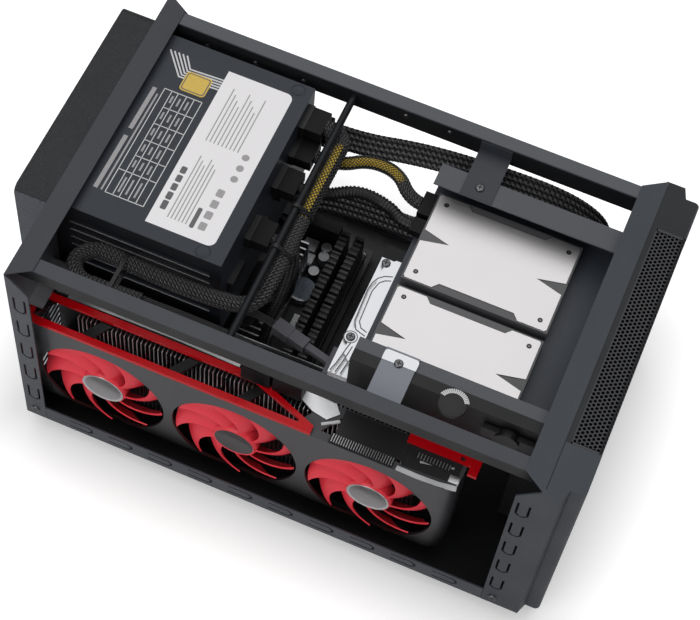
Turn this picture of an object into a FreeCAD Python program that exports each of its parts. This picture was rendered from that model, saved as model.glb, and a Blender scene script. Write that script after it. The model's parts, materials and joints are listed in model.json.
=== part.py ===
import FreeCAD, Part
import math
import os

V = FreeCAD.Vector
RIGHT = V(1, 0, 0)
BACK = V(0, 1, 0)
UP = V(0, 0, 1)

# Steel frame, in millimetres. Front is -Y, the graphics card side is -X.
case_width = 240.0
frame_length = 354.0
sheet = 1.0
panel_flange = 15.0
flange_slope = 10.0
side_slope = 18.0
base_lip = 16.0
seam = 0.3
screw_radius = 1.8
screw_head = 3.2
screw_proud = 1.5
foot_height = 14.0
foot_radius = 9.0
foot_inset = 26.0

# Spring tongues lanced into the flanges, where the cover hooks on
lance_length = 18.0
lance_width = 9.0
lance_slot = 1.5
lance_bevel = 3.0
lance_pitch = 30.0

# Top rails and the round cross rod
rail_width = 9.5
rail_depth = 12.0
rail_inset = 10.0
rod_radius = 2.5
rod_drop = 8.0
rod_reach = 212.0

# Front bezel with its bent mesh panel
bezel_depth = 24.0
bezel_flush = 11.4
bezel_step = 8.0
bezel_slant = 3.0
bezel_corner = 3.5
bezel_wall = 2.5
mesh_half = 83.0
mesh_sheet = 1.2
mesh_rear = 4.0
mesh_sill = 10.0
mesh_pitch = 23.5
mesh_hole = 9.6

# Side ports and buttons of the bezel
port_row = 17.0
port_depth = 11.5
port_back = 2.0
port_half = 3.4
usb_length = 12.6
usb_width = 4.8
jack_radius = 1.8
power_length = 12.0
reset_length = 5.0
button_width = 4.8
button_gap = 0.3
button_proud = 0.8
button_travel = 1.2
button_head = 5.0
stem_radius = 1.2
running_gap = 0.05
port_top = 167.0
port_bottom = 76.0
power_height = 157.0
reset_height = 143.0
jack_heights = (131.0, 121.0)
usb_heights = (106.0, 86.0)

# Drive cage with its shelf, latch and drives
cage_half = 79.0
cage_drop = 12.0
cage_length = 140.0
cage_lip = 17.0
shelf_drop = 26.0
shelf_edge = 8.0
bracket_reach = 111.0
bracket_width = 22.0
bracket_tab = 9.0
latch_length = 34.0
latch_height = 10.0
latch_thick = 4.0
latch_front = 16.0
latch_travel = 6.0
latch_tongue = 5.0
latch_knob = 8.0
latch_knob_proud = 1.5
ssd_length = 100.0
ssd_width = 69.85
ssd_height = 8.9
ssd_plate = 0.6
ssd_rim = 1.0
ssd_front = 35.5
ssd_notch = 29.0
ssd_notch_depth = 4.2
ssd_wedge = 20.0
ssd_wedge_half = 4.4
ssd_places = (32.8, -42.8)
hdd_length = 147.0
hdd_width = 101.6
hdd_height = 26.1
hdd_front = 6.5
hdd_room = 0.9
hdd_lid = 2.0
hdd_corner = 12.0

# Power supply and the hood it stands out into
psu_width = 150.0
psu_height = 86.0
psu_depth = 140.0
psu_x = 19.0
psu_drop = 6.3
psu_sheet = 1.0
psu_gap = 0.5
hood_depth = 24.0
hood_wall = 1.0
hood_room = 4.0
hood_corner = 6.0
groove_pitch = 9.0
groove_count = 6

# Mainboard
board_size = 170.0
board_thick = 1.6
board_x = 11.0
standoff_height = 6.5
standoff_radius = 3.0
board_hole_inset = 6.4
shield_width = 158.75
shield_height = 44.45
shield_x = 21.4
shield_sheet = 0.5
shield_rim = 3.0
socket_size = 42.0
socket_height = 3.0
processor_size = 37.0
processor_height = 3.5
processor_x = 18.0
processor_reach = 262.0
memory_length = 133.0
memory_height = 33.0
memory_thick = 6.0
memory_x = 15.0
memory_rows = (189.0, 200.0)
memory_socket_half = 4.0
memory_socket_height = 9.0
memory_seat = 3.0

# Graphics card
card_x = -66.0
card_thick = 1.6
bracket_sheet = 1.0
card_length = 290.0
card_bottom = 20.5
card_top = 122.0
card_face = -111.0
shroud_wall = 2.0
shroud_length = 300.0
shroud_bottom = 12.0
shroud_curve = 16.0
fin_pitch = 6.0
fin_thick = 1.2
fin_base = 3.0
fan_height = 63.2
fan_reaches = (297.4, 201.8, 106.1)
fan_opening = 44.8
fan_duct = 13.0
fan_hub = 16.5
card_blades = 9
card_sweep = 38.0

# Other fans
case_fan_size = 120.0
case_fan_depth = 25.0
case_fan_rim = 2.0
case_fan_hub = 20.0
cooler_fan_size = 96.0
cooler_fan_depth = 22.0
cooler_fan_rim = 3.0
cooler_fan_hub = 18.0
cooler_fins = 17
cooler_height = 34.0
fan_blades = 7
fan_sweep = 24.0
fan_corner = 7.0
tip_gap = 1.2
hub_gap = 0.3
pin_radius = 2.0
arm_thick = 3.0
arm_turns = (20.0, 110.0, 200.0, 290.0)
fan_sides = 24
blade_cover = 0.86
blade_camber = 0.35
blade_bow = 0.3
blade_thick = 1.2

# Cables
strand_width = 18.0
strand_thick = 5.0
sleeve_radius = 5.0
lead_radius = 3.5
link_radius = 2.5
cable_sides = 5
arc_share = 0.45
pipe_radius = 2.8

# Reference planes
half_width = case_width / 2
front_y = bezel_depth - (bezel_depth + frame_length + hood_depth + screw_proud) / 2
rear_y = front_y + frame_length
floor_z = foot_height
deck_z = floor_z + sheet
bezel_y = front_y - bezel_depth
rail_x = half_width - rail_inset - rail_width / 2
rail_inner = rail_x - rail_width / 2
cage_bottom = deck_z + case_fan_size + sheet
shelf_top = cage_bottom + hdd_room + hdd_height + sheet
cage_top = shelf_top + shelf_drop
top_z = cage_top + cage_drop
rail_top = top_z - sheet
case_fan_opening = case_fan_size / 2 - case_fan_rim
cooler_fan_opening = cooler_fan_size / 2 - cooler_fan_rim
cage_rear = front_y + cage_length
psu_top = top_z - psu_drop
psu_bottom = psu_top - psu_height
psu_rear = rear_y + hood_depth - hood_wall
psu_front = psu_rear - psu_depth
psu_left = psu_x - psu_width / 2
psu_right = psu_x + psu_width / 2
board_bottom = deck_z + standoff_height
board_top = board_bottom + board_thick
board_rear = rear_y - sheet - bracket_sheet - seam
board_front = board_rear - board_size
processor_y = front_y + processor_reach
rod_y = front_y + rod_reach
rod_z = top_z - rod_drop


def block(x0, x1, y0, y1, z0, z1):
    low = V(min(x0, x1), min(y0, y1), min(z0, z1))
    return Part.makeBox(abs(x1 - x0), abs(y1 - y0), abs(z1 - z0), low)


def prism(points, travel):
    wire = Part.makePolygon(points + points[:1])
    return Part.Face(wire).extrude(travel)


def disc(centre, axis, radius, height):
    return Part.makeCylinder(radius, height, centre, axis)


# A round piece with few sides, for what is small or hidden
def drum(centre, axis, radius, height, sides=16):
    return facing(Part.Face(ring_loop(radius, sides)).extrude(V(0, 0, height)), centre, axis)


def joined(pieces):
    return pieces[0].fuse(pieces[1:]).removeSplitter()


def facing(shape, centre, axis):
    moved = shape.copy()
    moved.Placement = FreeCAD.Placement(centre, FreeCAD.Rotation(UP, axis))
    return moved


def spaced(low, high, pitch):
    count = max(1, int((high - low) / pitch))
    first = (low + high - (count - 1) * pitch) / 2
    return [first + step * pitch for step in range(count)]


def save(name, pieces):
    shape = Part.makeCompound(pieces) if isinstance(pieces, list) else pieces
    shape.exportStep("parts/" + name + ".step")


# A tongue cut free on three sides: a slot in the form of a U
def lance(root, along, across, through):
    half = lance_width / 2
    inset = lance_bevel + lance_slot * (math.sqrt(2) - 1)
    outer = [(0, half), (lance_length - lance_bevel, half), (lance_length, half - lance_bevel)]
    inner = [(0, half - lance_slot), (lance_length - inset, half - lance_slot)]
    inner.append((lance_length - lance_slot, half - inset))
    outer += [(u, -v) for u, v in reversed(outer)]
    inner += [(u, -v) for u, v in reversed(inner)]
    points = [root + along * u + across * v for u, v in outer + inner[::-1]]
    return prism(points, through)


# End panels, folded inwards along the top and both sides
def folded_panel(outer_y, inward):
    inner_y = outer_y + inward * sheet
    edge_y = outer_y + inward * panel_flange
    slope_x = half_width - flange_slope
    corners = [(-half_width, outer_y), (half_width, outer_y), (slope_x, edge_y), (-slope_x, edge_y)]
    plate = block(-half_width, half_width, outer_y, inner_y, deck_z, top_z)
    lip = prism([V(x, y, top_z) for x, y in corners], V(0, 0, -sheet))
    pieces = [plate, lip]
    slots = []
    for side in (-1, 1):
        outer_x = side * half_width
        outline = [(outer_y, deck_z), (outer_y, top_z), (edge_y, top_z - side_slope), (edge_y, deck_z)]
        pieces.append(prism([V(outer_x, y, z) for y, z in outline], V(-side * sheet, 0, 0)))
        middle_y = outer_y + inward * (panel_flange + sheet) / 2
        for z in spaced(deck_z + base_lip, top_z - side_slope, lance_pitch):
            root = V(outer_x + side * sheet, middle_y, z + lance_length / 2)
            slots.append(lance(root, -UP, BACK, V(-side * 3 * sheet, 0, 0)))
    return joined(pieces).cut(slots)


def hexagon(centre, axis, radius, depth):
    shape = prism([V(radius * math.cos(a), radius * math.sin(a), 0)
                   for a in [math.radians(30 + 60 * k) for k in range(6)]], V(0, 0, depth))
    return facing(shape, centre, axis)


def base_tray():
    pieces = [block(-half_width, half_width, front_y, rear_y, floor_z, deck_z)]
    low_y = front_y + panel_flange + seam
    high_y = rear_y - panel_flange - seam
    slots = []
    for side in (-1, 1):
        outer_x = side * half_width
        pieces.append(block(outer_x, outer_x - side * sheet, low_y, high_y, floor_z, floor_z + base_lip))
        for y in spaced(low_y, high_y, lance_pitch):
            root = V(outer_x + side * sheet, y + lance_length / 2, deck_z + (base_lip - sheet) / 2)
            slots.append(lance(root, -BACK, UP, V(-side * 3 * sheet, 0, 0)))
    return joined(pieces).cut(slots)


def rear_panel():
    hole_low = rear_y - 2 * sheet
    hole_high = rear_y + sheet
    gap = psu_gap
    cuts = [block(psu_left - gap, psu_right + gap, hole_low, hole_high, psu_bottom - gap, psu_top + gap)]
    low_x = shield_x - shield_width / 2 + shield_rim
    high_x = shield_x + shield_width / 2 - shield_rim
    cuts.append(block(low_x, high_x, hole_low, hole_high, shield_low + shield_rim,
                      shield_low + shield_height - shield_rim))
    for slot in range(2):
        slot_x = card_x - slot_offset - slot * slot_pitch
        cuts.append(block(slot_x - slot_half, slot_x + slot_half, hole_low, hole_high, slot_low, slot_high))
    vent_low = shield_low + shield_height + hood_corner
    for x in spaced(low_x, high_x, vent_pitch):
        cuts.append(block(x - vent_half, x + vent_half, hole_low, hole_high, vent_low,
                          psu_bottom - hood_room - hood_wall - hood_corner))
    return folded_panel(rear_y, -1).cut(cuts)


def front_panel():
    cuts = [block(-cage_half + shelf_edge, cage_half - shelf_edge, front_y - sheet, front_y + 2 * sheet,
                  cage_bottom + shelf_edge, cage_top - shelf_edge)]
    reach = case_fan_opening - vent_cell
    for row in range(-vent_rows, vent_rows + 1):
        for column in range(-vent_rows, vent_rows + 1):
            x = (column + 0.5 * (row % 2)) * vent_cell * 2
            z = row * vent_cell * math.sqrt(3)
            if math.hypot(x, z) < reach:
                cuts.append(hexagon(V(x, front_y - sheet, case_fan_z + z), BACK, vent_cell * 0.92,
                                    3 * sheet))
    return folded_panel(front_y, 1).cut(cuts)


# Inverted channel, spot-welded under the two end flanges
def top_rail(side):
    outer = rail_x - rail_width / 2
    length_low = front_y + sheet
    length_high = rear_y - sheet
    bar = block(outer, outer + rail_width, length_low, length_high, rail_top - rail_depth, rail_top)
    hollow = block(outer + sheet, outer + rail_width - sheet, length_low, length_high,
                   rail_top - rail_depth, rail_top - sheet)
    rail = bar.cut(hollow)
    return rail if side > 0 else rail.mirror(V(0, 0, 0), RIGHT)


def cross_rod():
    return disc(V(-rail_inner, rod_y, rod_z), RIGHT, rod_radius, 2 * rail_inner)


# Plan of the bezel, drawn in by an inset for the hollow inside it
def bezel_outline(inset, low, high, open_y):
    wide = half_width - inset
    narrow = wide - bezel_step
    nose = bezel_y + inset
    shoulder = front_y - bezel_flush + inset * 0.4
    neck = shoulder - bezel_slant
    corner = max(bezel_corner - inset, 0.5)
    bend = corner * (1 - math.sqrt(0.5))
    right = [V(wide, open_y, low), V(wide, shoulder, low), V(narrow, neck, low),
             V(narrow, nose + corner, low)]
    left = [V(-p.x, p.y, p.z) for p in reversed(right)]
    edges = [Part.LineSegment(a, b).toShape() for a, b in zip(right, right[1:])]
    tip_right = V(narrow - corner, nose, low)
    tip_left = V(-tip_right.x, nose, low)
    edges.append(Part.Arc(right[-1], V(narrow - bend, nose + bend, low), tip_right).toShape())
    edges.append(Part.LineSegment(tip_right, tip_left).toShape())
    edges.append(Part.Arc(tip_left, V(bend - narrow, nose + bend, low), left[0]).toShape())
    edges += [Part.LineSegment(a, b).toShape() for a, b in zip(left, left[1:])]
    edges.append(Part.LineSegment(left[-1], right[0]).toShape())
    return Part.Face(Part.Wire(edges)).extrude(V(0, 0, high - low))


def front_bezel():
    shell = bezel_outline(0, floor_z, top_z, front_y)
    hollow = bezel_outline(bezel_wall, floor_z + bezel_wall, top_z - bezel_wall, front_y + sheet)
    over = block(-mesh_half, mesh_half, bezel_y - 1, front_y - mesh_rear, top_z - bezel_wall - 1, top_z + 1)
    ahead = block(-mesh_half, mesh_half, bezel_y - 1, bezel_y + bezel_wall + 1, floor_z + mesh_sill,
                  top_z + 1)
    cuts = [hollow, over, ahead]
    low_x = port_face - 2 * bezel_wall
    high_x = port_face + bezel_wall
    for z in usb_heights:
        cuts.append(port_window(low_x, high_x, usb_length, usb_width, z))
    cuts.append(port_window(low_x, high_x, power_length, button_width, power_height))
    cuts.append(port_window(low_x, high_x, reset_length, button_width, reset_height))
    for z in jack_heights:
        cuts.append(disc(V(low_x, port_y, floor_z + z), RIGHT, jack_radius, high_x - low_x))
    return shell.cut(cuts)


def port_window(low_x, high_x, length, width, height):
    z = floor_z + height
    return block(low_x, high_x, port_y - width / 2, port_y + width / 2, z - length / 2, z + length / 2)


def mesh_panel():
    over = block(-mesh_half, mesh_half, bezel_y, front_y - mesh_rear, top_z - mesh_sheet, top_z)
    ahead = block(-mesh_half, mesh_half, bezel_y, bezel_y + mesh_sheet, floor_z + mesh_sill, top_z)
    holes = []
    top_y = (bezel_y + front_y - mesh_rear) / 2
    columns = spaced(-mesh_half, mesh_half, mesh_pitch)
    for x in columns:
        holes.append(hexagon(V(x, top_y, top_z - 2 * mesh_sheet), UP, mesh_hole, 3 * mesh_sheet))
        for z in spaced(floor_z + mesh_sill, top_z - mesh_hole, mesh_pitch):
            holes.append(hexagon(V(x, bezel_y - mesh_sheet, z), BACK, mesh_hole, 3 * mesh_sheet))
    return joined([over, ahead]).cut(holes)


def front_port_block():
    inner = port_inner
    body = block(inner - port_depth, inner, port_y - port_half, port_y + port_half,
                 floor_z + port_bottom, floor_z + port_top)
    cuts = []
    for z in usb_heights:
        cuts.append(port_window(inner - port_depth + port_back, inner, usb_length, usb_width, z))
    for z in jack_heights:
        cuts.append(disc(V(inner - port_depth + port_back, port_y, floor_z + z), RIGHT, jack_radius,
                         port_depth))
    pocket = button_head + button_travel
    for length, height in ((power_length, power_height), (reset_length, reset_height)):
        cuts.append(port_window(port_face + button_proud - pocket - button_gap, inner, length, button_width,
                                height))
        bore = disc(V(inner - port_depth, port_y, floor_z + height), RIGHT, stem_radius + running_gap,
                    port_depth)
        cuts.append(bore)
    return body.cut(cuts)


def push_button(length, height):
    head_high = port_face + button_proud
    head_low = head_high - button_head
    gap = 2 * button_gap
    head = port_window(head_low, head_high, length - gap, button_width - gap, height)
    stem_low = port_inner - port_depth + button_travel
    stem = disc(V(stem_low, port_y, floor_z + height), RIGHT, stem_radius, head_low - stem_low)
    return joined([head, stem])


def rubber_feet():
    feet = []
    for side_x in (-1, 1):
        for side_y in (-1, 1):
            x = side_x * (half_width - foot_inset)
            y = (front_y + rear_y) / 2 + side_y * (frame_length / 2 - foot_inset)
            feet.append(disc(V(x, y, 0), UP, foot_radius, foot_height))
    return feet


# Cage for the drives: two walls with inward lips, tied by a front frame
def drive_cage():
    front = front_y + sheet
    frame = block(-cage_half, cage_half, front, front + sheet, cage_bottom, cage_top)
    window = block(-cage_half + shelf_edge, cage_half - shelf_edge, front - 1, front + 2 * sheet,
                   cage_bottom + shelf_edge, cage_top - shelf_edge)
    pieces = [frame.cut(window)]
    for side in (-1, 1):
        wall_x = side * cage_half
        pieces.append(block(wall_x, wall_x - side * sheet, front, cage_rear, cage_bottom, cage_top))
        pieces.append(block(wall_x, wall_x - side * cage_lip, front, cage_rear, cage_top - sheet, cage_top))
    slot_low = latch_y - latch_tongue / 2 - seam
    slot_high = latch_y + latch_tongue / 2 + latch_travel + seam
    tongue = latch_tongue / 2 + seam
    slot = block(-cage_half - 1, -cage_half + 2 * sheet, slot_low, slot_high, latch_z - tongue,
                 latch_z + tongue)
    notch = disc(V(-cage_half + cage_lip, front_y + notch_reach, cage_top - 2 * sheet), UP, notch_radius,
                 3 * sheet)
    return joined(pieces).cut([slot, notch])


def drive_shelf():
    inner = cage_half - sheet
    front = front_y + 2 * sheet
    plate = block(-inner, inner, front, cage_rear, shelf_top - sheet, shelf_top)
    stop = block(-inner, inner, front, front + sheet, shelf_top - sheet, shelf_top + shelf_edge)
    return joined([plate, stop])


def cage_bracket(side):
    low_y = front_y + bracket_reach - bracket_width / 2
    high_y = low_y + bracket_width
    inner = cage_half - cage_lip
    plate = block(side * inner, side * rail_inner, low_y, high_y, cage_top, cage_top + sheet)
    tab = block(side * rail_inner, side * (rail_inner - sheet), low_y, high_y, cage_top,
                cage_top + bracket_tab)
    hole = disc(V(side * bracket_screw_x, front_y + bracket_reach, cage_top - sheet), UP, screw_radius,
                3 * sheet)
    return joined([plate, tab]).cut(hole)


def drive_latch():
    outer = -cage_half - latch_thick
    low_y = front_y + latch_front
    half = latch_height / 2
    plate = block(outer, -cage_half - seam, low_y, low_y + latch_length, latch_z - half, latch_z + half)
    knob = drum(V(outer - latch_knob_proud, latch_y, latch_z), RIGHT, latch_knob,
                latch_knob_proud + latch_thick - seam, 24)
    tongue = block(-cage_half - seam - 1, -cage_half + sheet, latch_y - latch_tongue / 2,
                   latch_y + latch_tongue / 2, latch_z - latch_tongue / 2, latch_z + latch_tongue / 2)
    return joined([plate, tongue, knob])


def solid_state_drives():
    bodies = []
    plates = []
    low_y = front_y + ssd_front
    high_y = low_y + ssd_length
    middle_y = (low_y + high_y) / 2
    for x in ssd_places:
        low_x = x - ssd_width / 2
        high_x = x + ssd_width / 2
        body_top = shelf_top + ssd_height
        bodies.append(block(low_x, high_x, low_y, high_y, shelf_top, body_top))
        plate = block(low_x + ssd_rim, high_x - ssd_rim, low_y + ssd_rim, high_y - ssd_rim, body_top,
                      body_top + ssd_plate)
        notches = []
        for edge_x, inward in ((low_x + ssd_rim, 1), (high_x - ssd_rim, -1)):
            outline = [(0, -ssd_notch), (0, ssd_notch), (ssd_notch_depth, ssd_notch - ssd_notch_depth),
                       (ssd_notch_depth, ssd_notch_depth - ssd_notch)]
            corners = [V(edge_x + inward * u, middle_y + v, body_top) for u, v in outline]
            notches.append(prism(corners, V(0, 0, ssd_plate)))
        for edge_y, inward in ((low_y + ssd_rim, 1), (high_y - ssd_rim, -1)):
            outline = [(-ssd_wedge_half, 0), (ssd_wedge_half, 0), (0, inward * ssd_wedge)]
            notches.append(prism([V(x + u, edge_y + v, body_top) for u, v in outline], V(0, 0, ssd_plate)))
        plates.append(plate.cut(notches))
    return bodies, plates


def hard_drive():
    left = -cage_half + sheet
    right = left + hdd_width
    high_z = shelf_top - sheet
    low_y = front_y + hdd_front
    high_y = low_y + hdd_length
    body = block(left, right, low_y, high_y, high_z - hdd_height, high_z - hdd_lid)
    inset = hdd_lid * 2
    corners = []
    for x, toward_x in ((left + inset, 1), (right - inset, -1)):
        for y, toward_y in ((low_y + inset, 1), (high_y - inset, -1)):
            corners.append([V(x + toward_x * hdd_corner, y, high_z - hdd_lid),
                            V(x, y + toward_y * hdd_corner, high_z - hdd_lid)])
    outline = corners[0] + corners[1][::-1] + corners[3] + corners[2][::-1]
    lid = prism(outline, V(0, 0, hdd_lid))
    return joined([body, lid])


# A rounded box seen along Y, for the hood and its hollow
def rounded_box(x0, x1, y0, y1, z0, z1, corner):
    shape = block(x0, x1, y0, y1, z0, z1)
    along = [e for e in shape.Edges if abs(e.tangentAt(e.FirstParameter).y) > 0.9]
    return shape.makeFillet(corner, along)


def psu_hood():
    room = hood_room + hood_wall
    outer = rounded_box(psu_left - room, psu_right + room, rear_y, rear_y + hood_depth,
                        psu_bottom - room, psu_top + room, hood_corner)
    hollow = rounded_box(psu_left - hood_room, psu_right + hood_room, rear_y - 1,
                         rear_y + hood_depth - hood_wall,
                         psu_bottom - hood_room, psu_top + hood_room, hood_corner - hood_wall)
    rim = hood_corner
    window = block(psu_left + rim, psu_right - rim, rear_y, rear_y + hood_depth + 1,
                   psu_bottom + rim, psu_top - rim)
    return outer.cut([hollow, window])


def psu_shell():
    wall = psu_sheet
    base = block(psu_left + wall, psu_right - wall, psu_front, psu_rear, psu_bottom, psu_bottom + wall)
    ends = [block(psu_left + wall, psu_right - wall, y, y + wall, psu_bottom, psu_top - wall)
            for y in (psu_front, psu_rear - wall)]
    middle = V(psu_x, psu_fan_y, psu_bottom - 1)
    cuts = [drum(middle, UP, guard_reach - seam, wall + 2, 32)]
    cuts.append(block(inlet_x - inlet_half, inlet_x + inlet_half, psu_rear - 2 * wall, psu_rear + 1,
                      inlet_z - inlet_rise, inlet_z + inlet_rise))
    cuts.append(block(switch_x - switch_half - seam, switch_x + switch_half + seam, psu_rear - 2 * wall,
                      psu_rear + 1, inlet_z - switch_rise - switch_room,
                      inlet_z + switch_rise + switch_room))
    for x in spaced(psu_left + 2 * hood_corner, switch_x - vent_pitch, vent_pitch / 2):
        cuts.append(block(x - vent_slot / 2, x + vent_slot / 2, psu_rear - 2 * wall, psu_rear + 1,
                          psu_bottom + 2 * vent_pitch, psu_top - vent_pitch))
    return joined([base] + ends).cut(cuts)


def psu_cover():
    wall = psu_sheet
    outer = block(psu_left, psu_right, psu_front, psu_rear, psu_bottom, psu_top)
    inner = block(psu_left + wall, psu_right - wall, psu_front - 1, psu_rear + 1, psu_bottom - 1,
                  psu_top - wall)
    cuts = [inner]
    for side_x, sign in ((psu_left, 1), (psu_right, -1)):
        for step in range(groove_count):
            z = psu_top - psu_height * 0.2 - step * groove_pitch
            cuts.append(block(side_x - 1, side_x + sign * wall / 2, psu_front + 8,
                              psu_rear - hood_depth - 12,
                              z, z + groove_pitch / 3))
    return outer.cut(cuts)


# Fans are drawn with their axis on +Z and their back on the plane z = 0
def fan_frame(outline, depth, opening, hub):
    duct = outline.cut(drum(V(0, 0, -1), UP, opening, depth + 2, fan_sides))
    return joined([duct, fan_spider(opening + arm_root, hub, depth)])


def square_frame():
    half = case_fan_size / 2
    short = half - fan_corner
    quarter = [(half, -short), (half, short)]
    corners = []
    for turn in range(4):
        corners += quarter
        quarter = [(-v, u) for u, v in quarter]
    outline = prism([V(u, v, 0) for u, v in corners], V(0, 0, case_fan_depth))
    return fan_frame(outline, case_fan_depth, case_fan_opening, case_fan_hub)


def round_frame():
    outline = drum(V(0, 0, 0), UP, cooler_fan_size / 2, cooler_fan_depth, fan_sides)
    return fan_frame(outline, cooler_fan_depth, cooler_fan_opening, cooler_fan_hub)


def fan_spider(reach, hub, depth):
    pieces = [drum(V(0, 0, 0), UP, hub, arm_thick)]
    for turn in arm_turns:
        arm = block(0, reach, -arm_thick / 2, arm_thick / 2, 0, arm_thick)
        arm.rotate(V(0, 0, 0), UP, turn)
        pieces.append(arm)
    pieces.append(disc(V(0, 0, 0), UP, pin_radius, depth - 4 * hub_gap - arm_thick))
    return joined(pieces)


# One blade: a sheet folded once for its camber, trimmed to a swept outline
def fan_blade(tip, root, low, high, chord, sweep):
    def polar(radius, degrees):
        angle = math.radians(degrees)
        return V(radius * math.cos(angle), radius * math.sin(angle), low - 1)

    waist = (root + tip) / 2
    bow = sweep * blade_bow
    edges = [polar(root, -chord), polar(waist, bow - chord), polar(tip, sweep - chord), polar(tip, sweep),
             polar(tip, sweep + chord), polar(waist, bow + chord), polar(root, chord)]
    outline = prism(edges, V(0, 0, high - low + 2))
    lean = math.radians(sweep / 2)
    spine = V(math.cos(lean), math.sin(lean), 0)
    across = V(-math.sin(lean), math.cos(lean), 0)
    width = max(abs(point.dot(across)) for point in edges)
    rise = (high - low) / 2 - blade_thick
    centre = V(0, 0, (low + high) / 2)
    line = [(-width, -rise), (0, rise * blade_camber), (width, rise)]
    profile = [(u, v + blade_thick / 2) for u, v in line] + [(u, v - blade_thick / 2) for u,
                                                             v in reversed(line)]
    return prism([centre + across * u + UP * v for u, v in profile], spine * tip).common(outline)


def fan_rotor(opening, hub, depth, blades, sweep):
    low = arm_thick + hub_gap
    high = depth - hub_gap
    blade = fan_blade(opening - tip_gap, hub - 2 * blade_thick, low, high, 180.0 / blades * blade_cover,
                      sweep)
    pieces = [drum(V(0, 0, low), UP, hub, high - low, fan_sides)]
    for step in range(blades):
        turned = blade.copy()
        turned.rotate(V(0, 0, 0), UP, step * 360.0 / blades)
        pieces.append(turned)
    bore = disc(V(0, 0, low - 1), UP, pin_radius + running_gap,
                depth - 2 * hub_gap - arm_thick - blade_thick)
    return joined(pieces).cut(bore)


def psu_fan_guard():
    centre = V(psu_x, psu_fan_y, psu_bottom)
    pieces = []
    for radius in spaced(guard_pitch / 2, guard_reach, guard_pitch):
        pieces.append(ring_of_sides(radius, guard_wire, 16))
    for turn in (0, 90):
        bar = block(-guard_reach, guard_reach, -guard_wire / 2, guard_wire / 2, 0, guard_wire)
        bar.rotate(V(0, 0, 0), UP, turn)
        pieces.append(bar)
    return facing(joined(pieces), centre, -UP)


def ring_loop(radius, sides):
    turns = [2 * math.pi * k / sides for k in range(sides)]
    points = [V(radius * math.cos(turn), radius * math.sin(turn), 0) for turn in turns]
    return Part.makePolygon(points + points[:1])


def ring_of_sides(radius, wire, sides):
    outer = Part.Face(ring_loop(radius + wire / 2, sides))
    inner = Part.Face(ring_loop(radius - wire / 2, sides))
    return outer.cut(inner).extrude(V(0, 0, wire))


def psu_board():
    wall = psu_sheet
    high = psu_top - wall
    plate_z = high - psu_board_drop
    inset = psu_board_inset
    plate = block(psu_left + inset, psu_right - inset, psu_front + inset, psu_rear - hood_depth - inset,
                  plate_z - board_thick, plate_z)
    pieces = [plate]
    for x in (psu_left + 3 * inset, psu_right - 3 * inset):
        for y in (psu_front + 3 * inset, psu_rear - hood_depth - 3 * inset):
            pieces.append(hexagon(V(x, y, plate_z), UP, standoff_radius, high - plate_z))
    hang = plate_z - board_thick
    for x, y, wide, deep, tall in psu_blocks:
        pieces.append(block(psu_x + x - wide / 2, psu_x + x + wide / 2, psu_front + y - deep / 2,
                            psu_front + y + deep / 2, hang - tall, hang))
    for x in psu_coil_places:
        pieces.append(disc(V(psu_x + x, psu_front + psu_coil_reach, hang - psu_coil_height), UP,
                           psu_coil_radius, psu_coil_height))
    return joined(pieces)


def psu_inlet():
    depth = inlet_depth
    body = block(inlet_x - inlet_half + inlet_play, inlet_x + inlet_half - inlet_play, psu_rear - depth,
                 psu_rear + hood_wall,
                 inlet_z - inlet_rise + inlet_play, inlet_z + inlet_rise - inlet_play)
    mouth = block(inlet_x - inlet_half + inlet_wall, inlet_x + inlet_half - inlet_wall,
                  psu_rear - depth + 3, psu_rear + 2,
                  inlet_z - inlet_rise + inlet_wall, inlet_z + inlet_rise - inlet_wall)
    pins = [block(inlet_x + x - 1, inlet_x + x + 1, psu_rear - depth + 2, psu_rear - 2, inlet_z + z - 2,
                  inlet_z + z + 2)
            for x, z in ((-7, -2), (0, 2), (7, -2))]
    return joined([body.cut(mouth)] + pins)


def psu_switch():
    half = switch_half
    points = [(-switch_rise, 0), (0, -1.2), (switch_rise, 0), (switch_rise - 1.2, -7),
              (1.2 - switch_rise, -7)]
    return prism([V(switch_x - half, psu_rear + y, inlet_z + z) for z, y in points], V(2 * half, 0, 0))


def psu_switch_cradle():
    half = switch_half + seam
    outer = block(switch_x - half - 2, switch_x + half + 2, psu_rear - 14, psu_rear - psu_sheet,
                  inlet_z - switch_rise - 3, inlet_z + switch_rise + 3)
    inner = block(switch_x - half, switch_x + half, psu_rear - 12, psu_rear, inlet_z - switch_rise - 1.5,
                  inlet_z + switch_rise + 1.5)
    return outer.cut(inner)


def psu_sockets():
    return [block(x - socket_half, x + socket_half, psu_front - socket_proud, psu_front, z - socket_rise,
                  z + socket_rise)
            for x, z in plugged_sockets + spare_sockets]


# A straight housing laid between two points of a lead, upright in section
def lead_housing(start, stop, half):
    across = (stop - start).cross(UP).normalize() * half
    rise = UP * half
    corners = [start + across - rise, start - across - rise, start - across + rise, start + across + rise]
    return prism(corners, stop - start)


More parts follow.
